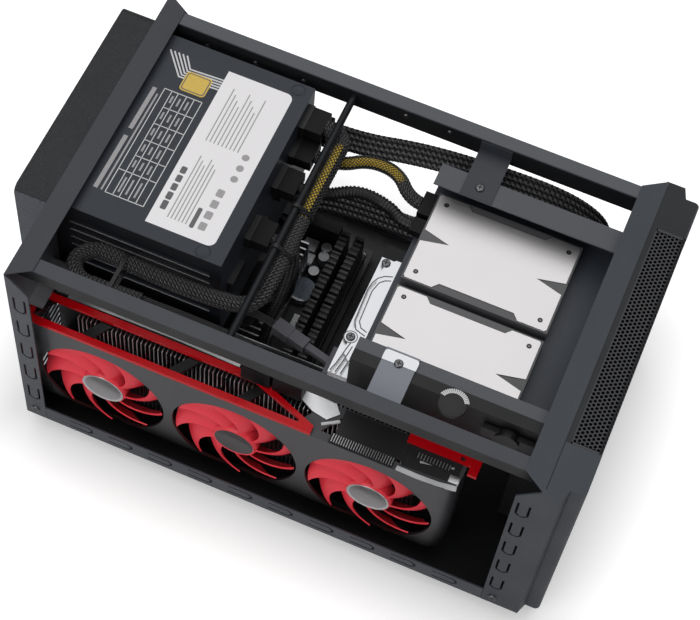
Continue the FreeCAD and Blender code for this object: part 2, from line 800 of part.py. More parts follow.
def power_plugs():
    plugs = []
    for x, z in plugged_sockets:
        plugs.append(block(x - socket_half + plug_inset, x + socket_half - plug_inset, plug_end,
                           psu_front - socket_proud,
                           z - socket_rise + plug_inset, z + socket_rise - plug_inset))
    low = front_y + ssd_front + ssd_length
    for x, half in ((drive_power_x, drive_power_half), (drive_data_x, drive_data_half)):
        plugs.append(block(x - half, x + half, low, drive_plug_end, shelf_top + drive_plug_low,
                           shelf_top + drive_plug_high))
    for y in card_plug_ys:
        plugs.append(block(card_plug_x - card_plug_deep, card_plug_x + card_plug_deep, y - card_plug_wide,
                           y + card_plug_wide, card_plug_z, card_plug_z + card_plug_rise))
    plugs.append(block(board_plug_x - board_plug_half, board_plug_x + board_plug_half,
                       board_plug_y - board_plug_reach, board_plug_y + board_plug_reach,
                       board_top + board_plug_low, board_top + board_plug_rise))
    plugs.append(lead_housing(inline_start, inline_middle, inline_half))
    plugs.append(lead_housing(inline_middle, inline_end, inline_half - plug_inset))
    hdd_plug = block(inline_tail.x - inline_tail_half, inline_tail.x + inline_tail_half, hdd_rear,
                     hdd_rear + inline_half,
                     inline_tail.z - inline_half, inline_tail.z + inline_half)
    plugs.append(joined([lead_housing(inline_end, inline_tail, inline_half / 2), hdd_plug]))
    return plugs


def motherboard():
    left = board_x - board_size / 2
    return block(left, left + board_size, board_front, board_rear, board_bottom, board_top)


def standoff_places():
    reach = board_size / 2 - board_hole_inset
    middle = (board_front + board_rear) / 2
    return [(board_x + sx * reach, middle + sy * reach) for sx in (-1, 1) for sy in (-1, 1)]


def board_standoffs():
    return [hexagon(V(x, y, deck_z), UP, standoff_radius, standoff_height) for x, y in standoff_places()]


def rear_ports():
    ports = []
    for x, wide, tall in port_stacks:
        high = rear_y + sheet
        body = block(x - wide / 2, x + wide / 2, board_rear - port_stack_depth, high, board_top,
                     board_top + tall)
        mouth = block(x - wide / 2 + 1, x + wide / 2 - 1, high - 9, high + 1, board_top + tall * 0.55,
                      board_top + tall - 1.5)
        below = block(x - wide / 2 + 1, x + wide / 2 - 1, high - 9, high + 1, board_top + 1.5,
                      board_top + tall * 0.45)
        ports.append(body.cut([mouth, below]))
    return ports


def io_shield():
    low_x = shield_x - shield_width / 2
    plate = block(low_x, low_x + shield_width, rear_y - sheet - shield_sheet, rear_y - sheet, shield_low,
                  shield_low + shield_height)
    cuts = [block(x - wide / 2 - seam, x + wide / 2 + seam, rear_y - 3 * sheet, rear_y, board_top - seam,
                  board_top + tall + seam) for x, wide, tall in port_stacks]
    return plate.cut(cuts)


def board_sockets():
    pieces = []
    for reach in memory_rows:
        y = front_y + reach
        half = memory_length / 2
        end = half + memory_socket_half
        shell = block(memory_x - end, memory_x + end, y - memory_socket_half, y + memory_socket_half,
                      board_top, board_top + memory_socket_height)
        groove = block(memory_x - half, memory_x + half, y - memory_thick / 2, y + memory_thick / 2,
                       board_top + memory_seat, board_top + memory_socket_height + 1)
        pieces.append(shell.cut(groove))
    slot_low = board_rear - 45 - 89
    slot = block(card_x - 3.5, card_x + 3.5, slot_low, slot_low + 89, board_top, board_top + 11)
    groove = block(card_x - card_thick / 2, card_x + card_thick / 2, slot_low + 2, slot_low + 87,
                   board_top + 4, board_top + 12)
    pieces.append(slot.cut(groove))
    pieces.append(block(board_plug_x - 5, board_plug_x + 5, board_plug_y - 26, board_plug_y + 26,
                        board_top, board_top + 10))
    pieces.append(block(board_feed_x - 5, board_feed_x + 5, board_feed_y - 10, board_feed_y + 10,
                        board_top, board_top + 12))
    return pieces


def memory_modules():
    modules = []
    for reach in memory_rows:
        y = front_y + reach
        low = board_top + memory_seat
        body = block(memory_x - memory_length / 2, memory_x + memory_length / 2, y - memory_thick / 2,
                     y + memory_thick / 2, low, low + memory_height)
        notches = []
        for x in spaced(memory_x - memory_length / 2, memory_x + memory_length / 2, 11):
            notches.append(block(x - 2, x + 2, y - memory_thick, y + memory_thick, low + memory_height - 4,
                                 low + memory_height + 1))
        modules.append(body.cut(notches))
    return modules


# Chokes, capacitors, the cell and the fan clip that show between cables
def board_parts():
    pieces = []
    for x, behind in choke_places:
        y = memory_edge + behind
        pieces.append(block(x - choke_half, x + choke_half, y - choke_half, y + choke_half, board_top,
                            board_top + choke_height))
    for x, behind in capacitor_places:
        pieces.append(drum(V(x, memory_edge + behind, board_top), UP, capacitor_radius, capacitor_height))
    cell_y = memory_edge + memory_gap + cell_radius
    pieces.append(drum(V(cell_x, cell_y, board_top), UP, cell_radius, cell_height, fan_sides))
    clip_y = memory_edge + memory_gap
    pieces.append(block(clip_x - clip_half, clip_x + clip_half, clip_y, clip_y + clip_depth, board_top,
                        board_top + clip_height))
    return pieces


def processor_socket():
    half = socket_size / 2
    frame = block(processor_x - half, processor_x + half, processor_y - half, processor_y + half,
                  board_top, board_top + socket_height)
    half = processor_size / 2 + seam
    return frame.cut(block(processor_x - half, processor_x + half, processor_y - half, processor_y + half,
                           board_top + socket_height / 2, board_top + socket_height))


def processor():
    half = processor_size / 2
    low = board_top + socket_height / 2
    return block(processor_x - half, processor_x + half, processor_y - half, processor_y + half, low,
                 low + processor_height)


# A comb of fins on a base: the same section along its whole length
def comb(start, along, stack, pitch, count, base, rise, thick):
    points = [start, start + along * ((count - 1) * pitch + thick)]
    for step in reversed(range(count)):
        left = start + along * (step * pitch)
        right = left + along * thick
        if step < count - 1:
            points.append(right + stack * base)
        points.append(right + stack * rise)
        points.append(left + stack * rise)
        if step:
            points.append(left + stack * base)
    return points


def cooler_heatsink():
    low = board_top + socket_height / 2 + processor_height
    half = cooler_fan_size / 2 - 6
    pitch = (2 * half - fin_thick) / (cooler_fins - 1)
    start = V(processor_x - half, processor_y - half, low)
    points = comb(start, RIGHT, UP, pitch, cooler_fins, 8, cooler_height, fin_thick)
    return prism(points, V(0, 2 * half, 0))


def gpu_board():
    half = card_thick / 2
    low = rear_y - sheet - bracket_sheet - card_length
    high = low + card_length
    plate = block(card_x - half, card_x + half, low, high, floor_z + card_bottom, floor_z + card_top)
    slot_low = board_rear - 45 - 89
    fingers = block(card_x - half, card_x + half, slot_low + 2.5, slot_low + 86.5, board_top + 4.5,
                    floor_z + card_bottom)
    chip = block(card_x - half, card_x - half - 2, front_y + fan_reaches[1] - 20,
                 front_y + fan_reaches[1] + 20,
                 floor_z + fan_height - 20, floor_z + fan_height + 20)
    return joined([plate, fingers, chip])


def gpu_backplate():
    half = card_thick / 2
    low = rear_y - sheet - bracket_sheet - card_length + 8
    plate = block(card_x + half, card_x + half + 1, low, rear_y - 30, floor_z + card_bottom + 14,
                  floor_z + card_top - 1)
    cuts = [block(card_x, card_x + 5, front_y + reach - 24, front_y + reach + 24, floor_z + fan_height - 3,
                  floor_z + fan_height + 3) for reach in (fan_reaches[0], fan_reaches[2])]
    return plate.cut(cuts)


def gpu_bracket():
    face = rear_y - sheet
    left = card_x - slot_offset - slot_pitch - 9
    high_z = floor_z + card_top + seam
    plate = block(left, card_x + 2, face - bracket_sheet, face, slot_low - 2, high_z + bracket_sheet)
    fold = block(left, card_x + 2, face - 11, face, high_z, high_z + bracket_sheet)
    cuts = [block(card_x - slot_offset - slot_pitch - 5, card_x - slot_offset + 5, face - 2, face + 1, z,
                  z + 3)
            for z in spaced(slot_low + 10, slot_high - 30, 7)]
    return joined([plate, fold]).cut(cuts)


def gpu_heatsink():
    start = V(card_x - card_thick / 2 - 2, front_y + fan_reaches[2] - 26, floor_z + card_bottom + 8)
    length = fan_reaches[0] + 32 - fan_reaches[2] + 26
    count = int(length / fin_pitch)
    points = comb(start, BACK, -RIGHT, fin_pitch, count, fin_base, fin_rise, fin_thick)
    high_z = floor_z + card_top - frame_strip - shroud_wall - seam
    return prism(points, V(0, 0, high_z - start.z))


# Copper pipes that loop out of the first fin and back into it
def gpu_heat_pipes():
    face = front_y + fan_reaches[2] - 26
    middle_x = card_x - card_thick / 2 - 2 - fin_rise / 2
    pipes = []
    for height, half in ((92.0, 7.0), (72.0, 9.0), (52.0, 7.0)):
        loop = [(-1, 0), (-1, 0.5), (-0.5, 1), (0.5, 1), (1, 0.5), (1, 0)]
        path = Part.makePolygon([V(middle_x + u * half, face - v * half, floor_z + height) for u,
                                 v in loop])
        section = facing(ring_loop(pipe_radius, 8), path.Vertexes[0].Point, -BACK)
        pipes.append(path.makePipeShell([section], True, False, 1))
    return pipes


# Moulded cooler cover: flat fan plate, lower edge rolled back, slatted top
def gpu_shroud():
    low_y = rear_y - sheet - 2 - shroud_length
    high_y = rear_y - sheet - 2
    high_z = floor_z + card_top - frame_strip
    low_z = floor_z + shroud_bottom
    wall = shroud_wall

    def section(inset):
        face = card_face + inset
        curve = shroud_curve - inset
        bend = curve * (1 - math.sqrt(0.5))
        base = low_z + inset
        edges = [Part.LineSegment(V(shroud_back, low_y, high_z - inset),
                                  V(face, low_y, high_z - inset)).toShape()]
        edges.append(Part.LineSegment(V(face, low_y, high_z - inset),
                                      V(face, low_y, base + curve)).toShape())
        edges.append(Part.Arc(V(face, low_y, base + curve), V(face + bend, low_y, base + bend),
                              V(face + curve, low_y, base)).toShape())
        edges.append(Part.LineSegment(V(face + curve, low_y, base), V(shroud_back, low_y, base)).toShape())
        edges.append(Part.LineSegment(V(shroud_back, low_y, base),
                                      V(shroud_back, low_y, high_z - inset)).toShape())
        return Part.Face(Part.Wire(edges)).extrude(V(0, shroud_length, 0))

    body = section(0)
    middles = [(edge, edge.CenterOfMass) for edge in body.Edges]
    end = [edge for edge, at in middles if abs(at.y - low_y) < 0.01 and abs(at.x - card_face) < 0.01]
    body = body.makeFillet(shroud_curve * 0.8, end)
    hollow = section(wall)
    hollow.translate(V(0, wall + shroud_curve * 0.6, 0))
    back = block(shroud_back - wall, shroud_back + 1, low_y - 1, high_y + 1, low_z + wall, high_z - wall)
    shell = body.cut([hollow, back])
    bores = []
    for reach in fan_reaches:
        centre = V(card_face, front_y + reach, floor_z + fan_height)
        bores.append(disc(centre - RIGHT, RIGHT, fan_opening, fan_duct))
    shell = shell.cut(bores)
    windows = []
    edge = shroud_back - card_face
    slant = 10
    for low, high in top_windows:
        far = high_y - low
        near = high_y - high
        corners = [(0.22, far), (0.22, near), (0.78, near - slant), (0.78, far - slant)]
        windows.append(prism([V(card_face + edge * u, y, high_z + 1) for u, y in corners],
                             V(0, 0, -wall - 2)))
    shell = shell.cut(windows)
    spiders = []
    for reach in fan_reaches:
        spider = joined([fan_spider(fan_opening + arm_thick, fan_hub, fan_duct)] + fan_posts())
        spiders.append(facing(spider, V(card_face + fan_duct, front_y + reach, floor_z + fan_height),
                              -RIGHT))
    return joined([shell] + spiders)


# Posts that tie the ends of a fan's arms to the back of the plate
def fan_posts():
    posts = []
    for turn in arm_turns:
        post = block(fan_opening + 0.5, fan_opening + arm_thick, -arm_thick / 2, arm_thick / 2, 0,
                     fan_duct - shroud_wall)
        post.rotate(V(0, 0, 0), UP, turn)
        posts.append(post)
    return posts


# Red trim loop that lies on the top of the cover
def gpu_red_frame():
    low_z = floor_z + card_top - frame_strip
    high_y = rear_y - sheet - 2
    tip_y = front_y + 150
    inner_x = shroud_back - 3
    outer = [(card_face, high_y), (inner_x, high_y), (inner_x, tip_y + 46), (card_face + 6, tip_y),
             (card_face, tip_y)]
    hole = [(card_face + 4.5, high_y - 4), (inner_x - 4.5, high_y - 4), (inner_x - 4.5, tip_y + 46),
            (card_face + 6.5, tip_y + 10), (card_face + 4.5, tip_y + 10)]
    loop = prism([V(x, y, low_z) for x, y in outer], V(0, 0, frame_strip))
    loop = loop.cut(prism([V(x, y, low_z - 1) for x, y in hole], V(0, 0, frame_strip + 2)))
    outline = [(0, tail_rear), (-tail_width, tail_rear), (-tail_width, tail_front + tail_width),
               (-2 * tail_width, tail_front + tail_width), (-2 * tail_width, tail_front), (0, tail_front)]
    tail = prism([V(shroud_back + u, front_y + v, low_z) for u, v in outline], V(0, 0, frame_strip))
    eye = V(shroud_back - tail_width / 2, front_y + tail_front + 2 * tail_width, low_z - 1)
    tail = tail.cut(drum(eye, UP, screw_radius, frame_strip + 2))
    return [loop, tail]


def rod_tie(x):
    half = sleeve_radius + 2
    low_y = rod_y - rod_radius - 2 * sleeve_radius - 3
    outer = block(x - 1.5, x + 1.5, low_y, rod_y + rod_radius + 1.5, rod_z - half, rod_z + half)
    inner = block(x - 2, x + 2, low_y + 1, rod_y + rod_radius + 0.3, rod_z - half + 1, rod_z + half - 1)
    return outer.cut(inner)


def fold_tie():
    half = sleeve_radius + 2.5
    y = psu_front + fold_reach * 0.7
    outer = block(fold_far - half, fold_near + half, y - 1.5, y + 1.5, fold_z - half, fold_z + half)
    inner = block(fold_far - half + 1, fold_near + half - 1, y - 2, y + 2, fold_z - half + 1,
                  fold_z + half - 1)
    return outer.cut(inner)


# A section carried along straight runs and the largest tangent arcs that they allow
def cable(points, section):
    face = Part.Face(section)
    pieces = []
    here = points[0]
    length = 0.0
    tightest = math.inf
    for before, at, after in zip(points, points[1:], points[2:]):
        into = (at - before).normalize()
        out = (after - at).normalize()
        turn = into.getAngle(out)
        run = min((at - before).Length, (after - at).Length) * arc_share
        radius = run / math.tan(turn / 2)
        axis = into.cross(out).normalize()
        corner = at - into * run
        pivot = corner + axis.cross(into) * radius
        pieces.append(face.extrude(corner - here))
        face.translate(corner - here)
        pieces.append(face.revolve(pivot, axis, math.degrees(turn)))
        face.rotate(pivot, axis, math.degrees(turn))
        length += (corner - here).Length + radius * turn
        tightest = min(tightest, radius)
        here = at + out * run
    pieces.append(face.extrude(points[-1] - here))
    length += (points[-1] - here).Length
    solid = joined(pieces)
    ratio = solid.Volume / face.Area / length
    print("cable of", round(length), "mm, tightest radius", round(tightest), "mm, volume ratio",
          round(ratio, 3))
    return solid


def tube(points, radius):
    return cable(points, facing(ring_loop(radius, cable_sides), points[0], points[1] - points[0]))


# Flat bundle that runs forward beside the cage and comes back below to the board
def board_power_cable():
    x, z = board_socket
    bow = cage_half + strand_width / 2
    low = board_top + board_plug_rise
    points = [V(x, plug_end, z), V(x, 22, z), V(bow + 3, -20, z + 5), V(bow + 7, -70, z + 6),
              V(bow + 9, -115, z + 3),
              V(bow + 11, -142, z - 20), V(bow + 11, -138, low + 67), V(bow + 9, -98, low + 39),
              V(bow + 6, -38, low + 31),
              V(bow + 3, 12, low + 35), V(board_plug_x, board_plug_y - 9, low + 31),
              V(board_plug_x, board_plug_y, low + 16), V(board_plug_x, board_plug_y, low)]
    along = (points[1] - points[0]).normalize()
    across = along.cross(UP).normalize() * (strand_width / 2)
    rise = across.cross(along).normalize() * (strand_thick / 2)
    corners = [points[0] + across + rise, points[0] - across + rise, points[0] - across - rise,
               points[0] + across - rise]
    return cable(points, Part.makePolygon(corners + corners[:1]))


# Runs along the rod, folds back beside the supply and comes to the card
def graphics_cable():
    x, z = graphics_socket
    beside = rod_y - rod_radius - sleeve_radius - seam
    turn_y = psu_front + fold_reach
    points = [V(x, plug_end, z), V(x, beside + 2, z), V(x - 30, beside, rod_z), V(0, beside, rod_z),
              V(fold_near + 22, beside, rod_z - 1), V(fold_near + 1, beside + 4, rod_z - 12),
              V(fold_near, psu_front - 4, fold_z), V(fold_near, psu_front + 40, fold_z - 1),
              V(fold_near, turn_y, fold_z), V(fold_far, turn_y, fold_z),
              V(fold_far, psu_front + 30, fold_z - 1),
              V(fold_far + 1, psu_front - 12, fold_z - 3), V(card_plug_x, card_plug_ys[0], fold_z - 4),
              V(card_plug_x, card_plug_ys[0], card_plug_z + card_plug_rise)]
    return tube(points, sleeve_radius)


def processor_cable():
    x, z = feed_socket
    low = board_top + feed_plug_rise
    points = [V(x, plug_end, z), V(x, 29, z), V(x - 2, 21, z - 20), V(x - 8, 22, low + 89.6),
              V(x - 15, 30, low + 61.6),
              V(board_feed_x + 0.5, board_feed_y - 2, low + 34.6), V(board_feed_x, board_feed_y, low + 15),
              V(board_feed_x, board_feed_y, low)]
    return tube(points, lead_radius)


# Two leads to the first flat drive, and the one that leaves the folded bundle
def drive_cables():
    drive_z = shelf_top + 4
    x, z = drive_socket
    power = [V(x, plug_end, z), V(x, 27, z), V(x + 6, 6, z - 2.5), V(drive_power_x, -15, drive_z),
             V(drive_power_x, drive_plug_end, drive_z)]
    x, z = loom_socket
    loom = [V(x, plug_end, z), V(x, 28, z), V(x + 10, 8, z - 3), V(drive_data_x, -15, drive_z),
            V(drive_data_x, drive_plug_end, drive_z)]
    behind = inline_start + (inline_start - inline_end).normalize() * 14
    inline = [V(fold_near, 90, fold_z - sleeve_radius - link_radius - 2 * seam),
              V(fold_near + 1.5, 71, fold_z - 10.5),
              V(fold_near + 7, 53, fold_z - 18.5), behind, inline_start]
    return [tube(power, lead_radius), tube(loom, lead_radius), tube(inline, link_radius)]


# Six-sided heads of the screws that hold the corners, cage, board and supply
def case_screws():
    places = []
    for side in (-1, 1):
        outward = V(side, 0, 0)
        for y in (front_y + panel_flange / 2, rear_y - panel_flange / 2):
            places.append((V(side * half_width, y, deck_z + lance_width), outward))
        places.append((V(side * bracket_screw_x, front_y + bracket_reach, cage_top + sheet), UP))
    for x in (psu_left + hood_corner - screw_head, psu_right - hood_corner + screw_head):
        for z in (psu_bottom + 2 * hood_corner, psu_top - 2 * hood_corner):
            places.append((V(x, rear_y + hood_depth, z), BACK))
    for x, y in standoff_places():
        places.append((V(x, y, board_top), UP))
    return [hexagon(place, axis, screw_head, screw_proud) for place, axis in places]


# Places shared by pieces that meet
port_y = front_y - port_row
port_face = half_width - bezel_step
port_inner = port_face - bezel_wall
latch_y = front_y + latch_front + latch_length / 2
latch_z = shelf_top + ssd_height + ssd_plate
notch_reach = 71.0
notch_radius = 9.0
bracket_screw_x = cage_half - cage_lip / 2
case_fan_z = deck_z + case_fan_size / 2
guard_margin = 4.0
guard_pitch = 15.0
guard_wire = 1.5
psu_fan_y = psu_front + psu_sheet + case_fan_size / 2 + seam
guard_reach = case_fan_opening - guard_margin
arm_root = 0.5
vent_cell = 11.5
vent_rows = 4
vent_pitch = 17.0
vent_half = 4.0
vent_slot = 4.5
shield_low = board_top - 3.0
slot_offset = 6.0
slot_pitch = 20.32
slot_half = 6.0
slot_low = board_top
slot_high = floor_z + card_top - 6
psu_board_drop = 5.0
psu_board_inset = 6.0
psu_blocks = ((-40.0, 60.0, 34.0, 30.0, 34.0), (10.0, 62.0, 40.0, 36.0, 36.0),
              (-36.0, 24.0, 60.0, 4.0, 40.0),
              (42.0, 58.0, 4.0, 70.0, 40.0))
psu_coil_places = (-8.0, 16.0)
psu_coil_reach = 25.0
psu_coil_height = 36.0
psu_coil_radius = 9.0
inlet_half = 14.0
inlet_depth = 18.0
inlet_wall = 2.5
inlet_play = 0.2
inlet_rise = 10.0
inlet_room = 1.0
inlet_x = psu_x + 48
inlet_z = psu_bottom + psu_sheet + case_fan_depth + inlet_rise + inlet_room
switch_x = psu_x + 20
switch_half = 5.0
switch_rise = 7.5
switch_room = 1.0
socket_proud = 4.0
plug_length = 12.0
socket_half = 10.0
socket_rise = 5.0
plug_inset = 0.5
plug_end = psu_front - socket_proud - plug_length
graphics_socket = (76.0, psu_top - 12)
loom_socket = (33.0, psu_top - 24)
feed_socket = (-10.0, psu_top - 24)
board_socket = (84.0, psu_top - 27.7)
drive_socket = (60.0, psu_top - 24)
plugged_sockets = (graphics_socket, loom_socket, feed_socket, board_socket, drive_socket)
spare_sockets = ((-36.0, psu_top - 40), (40.0, psu_top - 40), (0.0, psu_top - 40))
drive_power_x = ssd_places[0] + 25.0
drive_power_half = 9.0
drive_data_x = ssd_places[0] + 7.0
drive_data_half = 5.5
drive_plug_low = 1.0
drive_plug_high = 7.0
drive_plug_end = front_y + ssd_front + ssd_length + 9.0
hdd_rear = front_y + hdd_front + hdd_length
inline_start = V(-54.0, 21.0, cage_bottom + 10.0)
inline_step = V(-3.0, -12.0, 0.0)
inline_half = 4.5
inline_middle = inline_start + inline_step
inline_end = inline_middle + inline_step
inline_tail = inline_end + inline_step * ((hdd_rear + inline_half / 2 - inline_end.y) / inline_step.y)
inline_tail_half = 10.0
memory_gap = 2.0
memory_edge = front_y + memory_rows[-1] + memory_socket_half
choke_places = ((78.0, 21.0), (66.0, 19.0))
choke_half = 5.0
choke_height = 7.0
capacitor_places = ((80.0, 9.0), (72.0, 8.0), (58.0, 10.0))
capacitor_radius = 4.0
capacitor_height = 8.0
cell_x = 42.0
cell_radius = 10.0
cell_height = 5.0
clip_x = 15.0
clip_half = 7.0
clip_depth = 7.0
clip_height = 4.0
card_plug_x = -86.0
card_plug_ys = (front_y + 196.0, front_y + 174.0)
card_plug_z = floor_z + card_top + 0.5
card_plug_rise = 16.0
card_plug_deep = 7.0
card_plug_wide = 10.0
board_plug_x = board_x + board_size / 2 - 6
board_plug_y = front_y + 232.0
board_plug_rise = 22.0
board_plug_low = 10.0
board_plug_half = 4.5
board_plug_reach = 25.0
board_feed_x = -30.0
board_feed_y = front_y + 218.0
feed_plug_rise = 12.0
fold_reach = 88.0
fold_near = psu_left - 2 * sleeve_radius
fold_far = fold_near - 4 * sleeve_radius
fold_rise = 19.5
fold_z = card_plug_z + card_plug_rise + fold_rise
tie_places = (5.0, -28.0)
port_stacks = ((-36.0, 34.0, 14.0), (4.0, 15.0, 30.0), (28.0, 16.0, 28.0), (51.0, 16.0, 30.0),
               (75.0, 20.0, 33.0))
port_stack_depth = 18.0
fin_rise = 26.0
shroud_back = -84.0
frame_strip = 3.0
tail_front = 43.0
tail_rear = 92.0
tail_width = 6.0
top_windows = ((4, 38), (46, 100), (108, 148), (156, 190), (206, 278))

os.makedirs("parts", exist_ok=True)

save("base_tray", base_tray())
save("rear_panel", rear_panel())
save("front_panel", front_panel())
save("left_top_rail", top_rail(-1))
save("right_top_rail", top_rail(1))
save("cross_rod", cross_rod())
save("front_bezel", front_bezel())
save("mesh_panel", mesh_panel())
save("front_port_block", front_port_block())
save("power_button", push_button(power_length, power_height))
save("reset_button", push_button(reset_length, reset_height))
save("rubber_feet", rubber_feet())
save("case_screws", case_screws())

save("drive_cage", drive_cage())
save("drive_shelf", drive_shelf())
save("cage_brackets", [cage_bracket(-1), cage_bracket(1)])
save("drive_latch", drive_latch())
ssd_bodies, ssd_plates = solid_state_drives()
save("ssd_bodies", ssd_bodies)
save("ssd_plates", ssd_plates)
save("hard_drive", hard_drive())

fan_place = V(0, front_y + sheet + case_fan_depth, case_fan_z)
case_rotor = fan_rotor(case_fan_opening, case_fan_hub, case_fan_depth, fan_blades, fan_sweep)
save("front_fan_frame", facing(square_frame(), fan_place, -BACK))
save("front_fan_rotor", facing(case_rotor, fan_place, -BACK))

save("psu_hood", psu_hood())
save("psu_shell", psu_shell())
save("psu_cover", psu_cover())
fan_place = V(psu_x, psu_fan_y, psu_bottom + psu_sheet + case_fan_depth)
save("psu_fan_frame", facing(square_frame(), fan_place, -UP))
save("psu_fan_rotor", facing(case_rotor, fan_place, -UP))
save("psu_fan_guard", psu_fan_guard())
save("psu_board", psu_board())
save("psu_inlet", [psu_inlet(), psu_switch_cradle()])
save("psu_switch", psu_switch())
save("psu_sockets", psu_sockets())
save("power_plugs", power_plugs())

save("motherboard", motherboard())
save("board_standoffs", board_standoffs())
save("rear_ports", rear_ports())
save("io_shield", io_shield())
save("board_sockets", board_sockets())
save("memory_modules", memory_modules())
save("board_parts", board_parts())
save("processor_socket", processor_socket())
save("processor", processor())
save("cooler_heatsink", cooler_heatsink())
fan_place = V(processor_x, processor_y, board_top + socket_height / 2 + processor_height + cooler_height)
cooler_rotor = fan_rotor(cooler_fan_opening, cooler_fan_hub, cooler_fan_depth, fan_blades, fan_sweep)
save("cooler_fan_frame", facing(round_frame(), fan_place, UP))
save("cooler_fan_rotor", facing(cooler_rotor, fan_place, UP))

save("gpu_board", gpu_board())
save("gpu_backplate", gpu_backplate())
save("gpu_bracket", gpu_bracket())
save("gpu_heatsink", gpu_heatsink())
save("gpu_heat_pipes", gpu_heat_pipes())
save("gpu_shroud", gpu_shroud())
save("gpu_red_frame", gpu_red_frame())
card_rotor = fan_rotor(fan_opening, fan_hub, fan_duct, card_blades, card_sweep)
for number, reach in enumerate(fan_reaches, 1):
    place = V(card_face + fan_duct, front_y + reach, floor_z + fan_height)
    save("gpu_fan_%d" % number, facing(card_rotor, place, -RIGHT))

save("board_power_cable", board_power_cable())
save("graphics_cable", graphics_cable())
save("processor_cable", processor_cable())
save("drive_cables", drive_cables())
save("cable_ties", [rod_tie(x) for x in tie_places] + [fold_tie()])
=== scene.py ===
import bpy
import bmesh
import json
import math
from mathutils import Matrix, Vector


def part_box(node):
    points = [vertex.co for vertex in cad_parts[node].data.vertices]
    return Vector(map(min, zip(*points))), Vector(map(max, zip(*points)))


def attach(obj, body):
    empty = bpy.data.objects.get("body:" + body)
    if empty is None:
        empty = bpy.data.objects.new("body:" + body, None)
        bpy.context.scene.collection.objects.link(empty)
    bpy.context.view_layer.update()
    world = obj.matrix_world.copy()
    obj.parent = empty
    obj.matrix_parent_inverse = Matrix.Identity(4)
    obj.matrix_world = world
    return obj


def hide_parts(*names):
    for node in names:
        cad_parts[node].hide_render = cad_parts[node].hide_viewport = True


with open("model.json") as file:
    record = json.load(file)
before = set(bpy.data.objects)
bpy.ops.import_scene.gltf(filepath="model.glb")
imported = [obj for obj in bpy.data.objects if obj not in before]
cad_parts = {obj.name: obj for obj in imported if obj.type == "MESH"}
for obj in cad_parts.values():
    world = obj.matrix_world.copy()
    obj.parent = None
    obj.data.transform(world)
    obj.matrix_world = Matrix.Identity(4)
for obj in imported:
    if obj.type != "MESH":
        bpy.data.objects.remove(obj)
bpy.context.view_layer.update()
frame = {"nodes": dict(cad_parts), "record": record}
scene = bpy.context.scene
print("frame loaded:", len(frame["nodes"]), "nodes")

mm = 0.001


# Shader groups: each gives only colours, values and heights
def groupTree(name, inputs, outputs):
    tree = bpy.data.node_groups.new(name, "ShaderNodeTree")
    for label, kind in inputs.items():
        tree.interface.new_socket(name=label, in_out="INPUT", socket_type="NodeSocket" + kind)
    for label, kind in outputs.items():
        tree.interface.new_socket(name=label, in_out="OUTPUT", socket_type="NodeSocket" + kind)
    return tree, tree.nodes.new("NodeGroupInput").outputs, tree.nodes.new("NodeGroupOutput")


def put(tree, kind, links=None, **settings):
    node = tree.nodes.new(kind)
    for key, value in settings.items():
        setattr(node, key, value)
    for key, value in (links or {}).items():
        if isinstance(value, bpy.types.NodeSocket):
            tree.links.new(value, node.inputs[key])
        else:
            node.inputs[key].default_value = value
    return node


def blendColour(tree, factor, first, second, mode="MIX"):
    links = {0: factor, 6: first, 7: second}
    return put(tree, "ShaderNodeMix", links, data_type="RGBA", blend_type=mode).outputs[2]


def remap(tree, value, low, high, toLow, toHigh):
    links = {"Value": value, "From Min": low, "From Max": high, "To Min": toLow, "To Max": toHigh}
    return put(tree, "ShaderNodeMapRange", links).outputs[0]


def calc(tree, operation, first, second=0.0):
    return put(tree, "ShaderNodeMath", {0: first, 1: second}, operation=operation).outputs[0]


def vectorCalc(tree, operation, first, second=(0, 0, 0)):
    return put(tree, "ShaderNodeVectorMath", {0: first, 1: second}, operation=operation).outputs[0]


def ownSpace(tree):
    return put(tree, "ShaderNodeTexCoord").outputs["Object"]


# Noise sizes and detail, the range each noise is spread over, and how much of the tone is fine
patternStyle = {"grainDetail": 2.0, "grainCloud": (26.0, 4.0), "grainRange": (0.35, 0.65), "lineDetail": 5.0,
                "lineRough": 0.7, "lineCloud": (14.0, 3.0), "range": (0.3, 0.7), "fine": 0.6, "slow": 0.4}
patternInputs = {"Dark": "Color", "Light": "Color", "Rough Low": "Float", "Rough High": "Float"}
patternOutputs = {"Colour": "Color", "Roughness": "Float", "Height": "Float"}


def noise(tree, vector, scale, detail, rough=0.5):
    links = {"Vector": vector, "Scale": scale, "Detail": detail, "Roughness": rough}
    return put(tree, "ShaderNodeTexNoise", links).outputs["Fac"]


def leavePattern(tree, given, leave, fine, cloud, wear, height):
    shares = calc(tree, "MULTIPLY", fine, patternStyle["fine"]), calc(tree, "MULTIPLY", cloud, patternStyle["slow"])
    colour = blendColour(tree, calc(tree, "ADD", *shares), given["Dark"], given["Light"])
    rough = remap(tree, wear, *patternStyle["range"], given["Rough Low"], given["Rough High"])
    for key, value in (("Colour", colour), ("Roughness", rough), ("Height", height)):
        tree.links.new(value, leave.inputs[key])
    return tree


# Orange-peel grain of powder coat and moulded plastic
def grainGroup():
    tree, given, leave = groupTree("coatGrain", {**patternInputs, "Scale": "Float"}, patternOutputs)
    where = ownSpace(tree)
    grain = noise(tree, where, given["Scale"], patternStyle["grainDetail"])
    cloud = noise(tree, where, *patternStyle["grainCloud"])
    speck = remap(tree, grain, *patternStyle["grainRange"], 0.0, 1.0)
    return leavePattern(tree, given, leave, speck, cloud, cloud, speck)


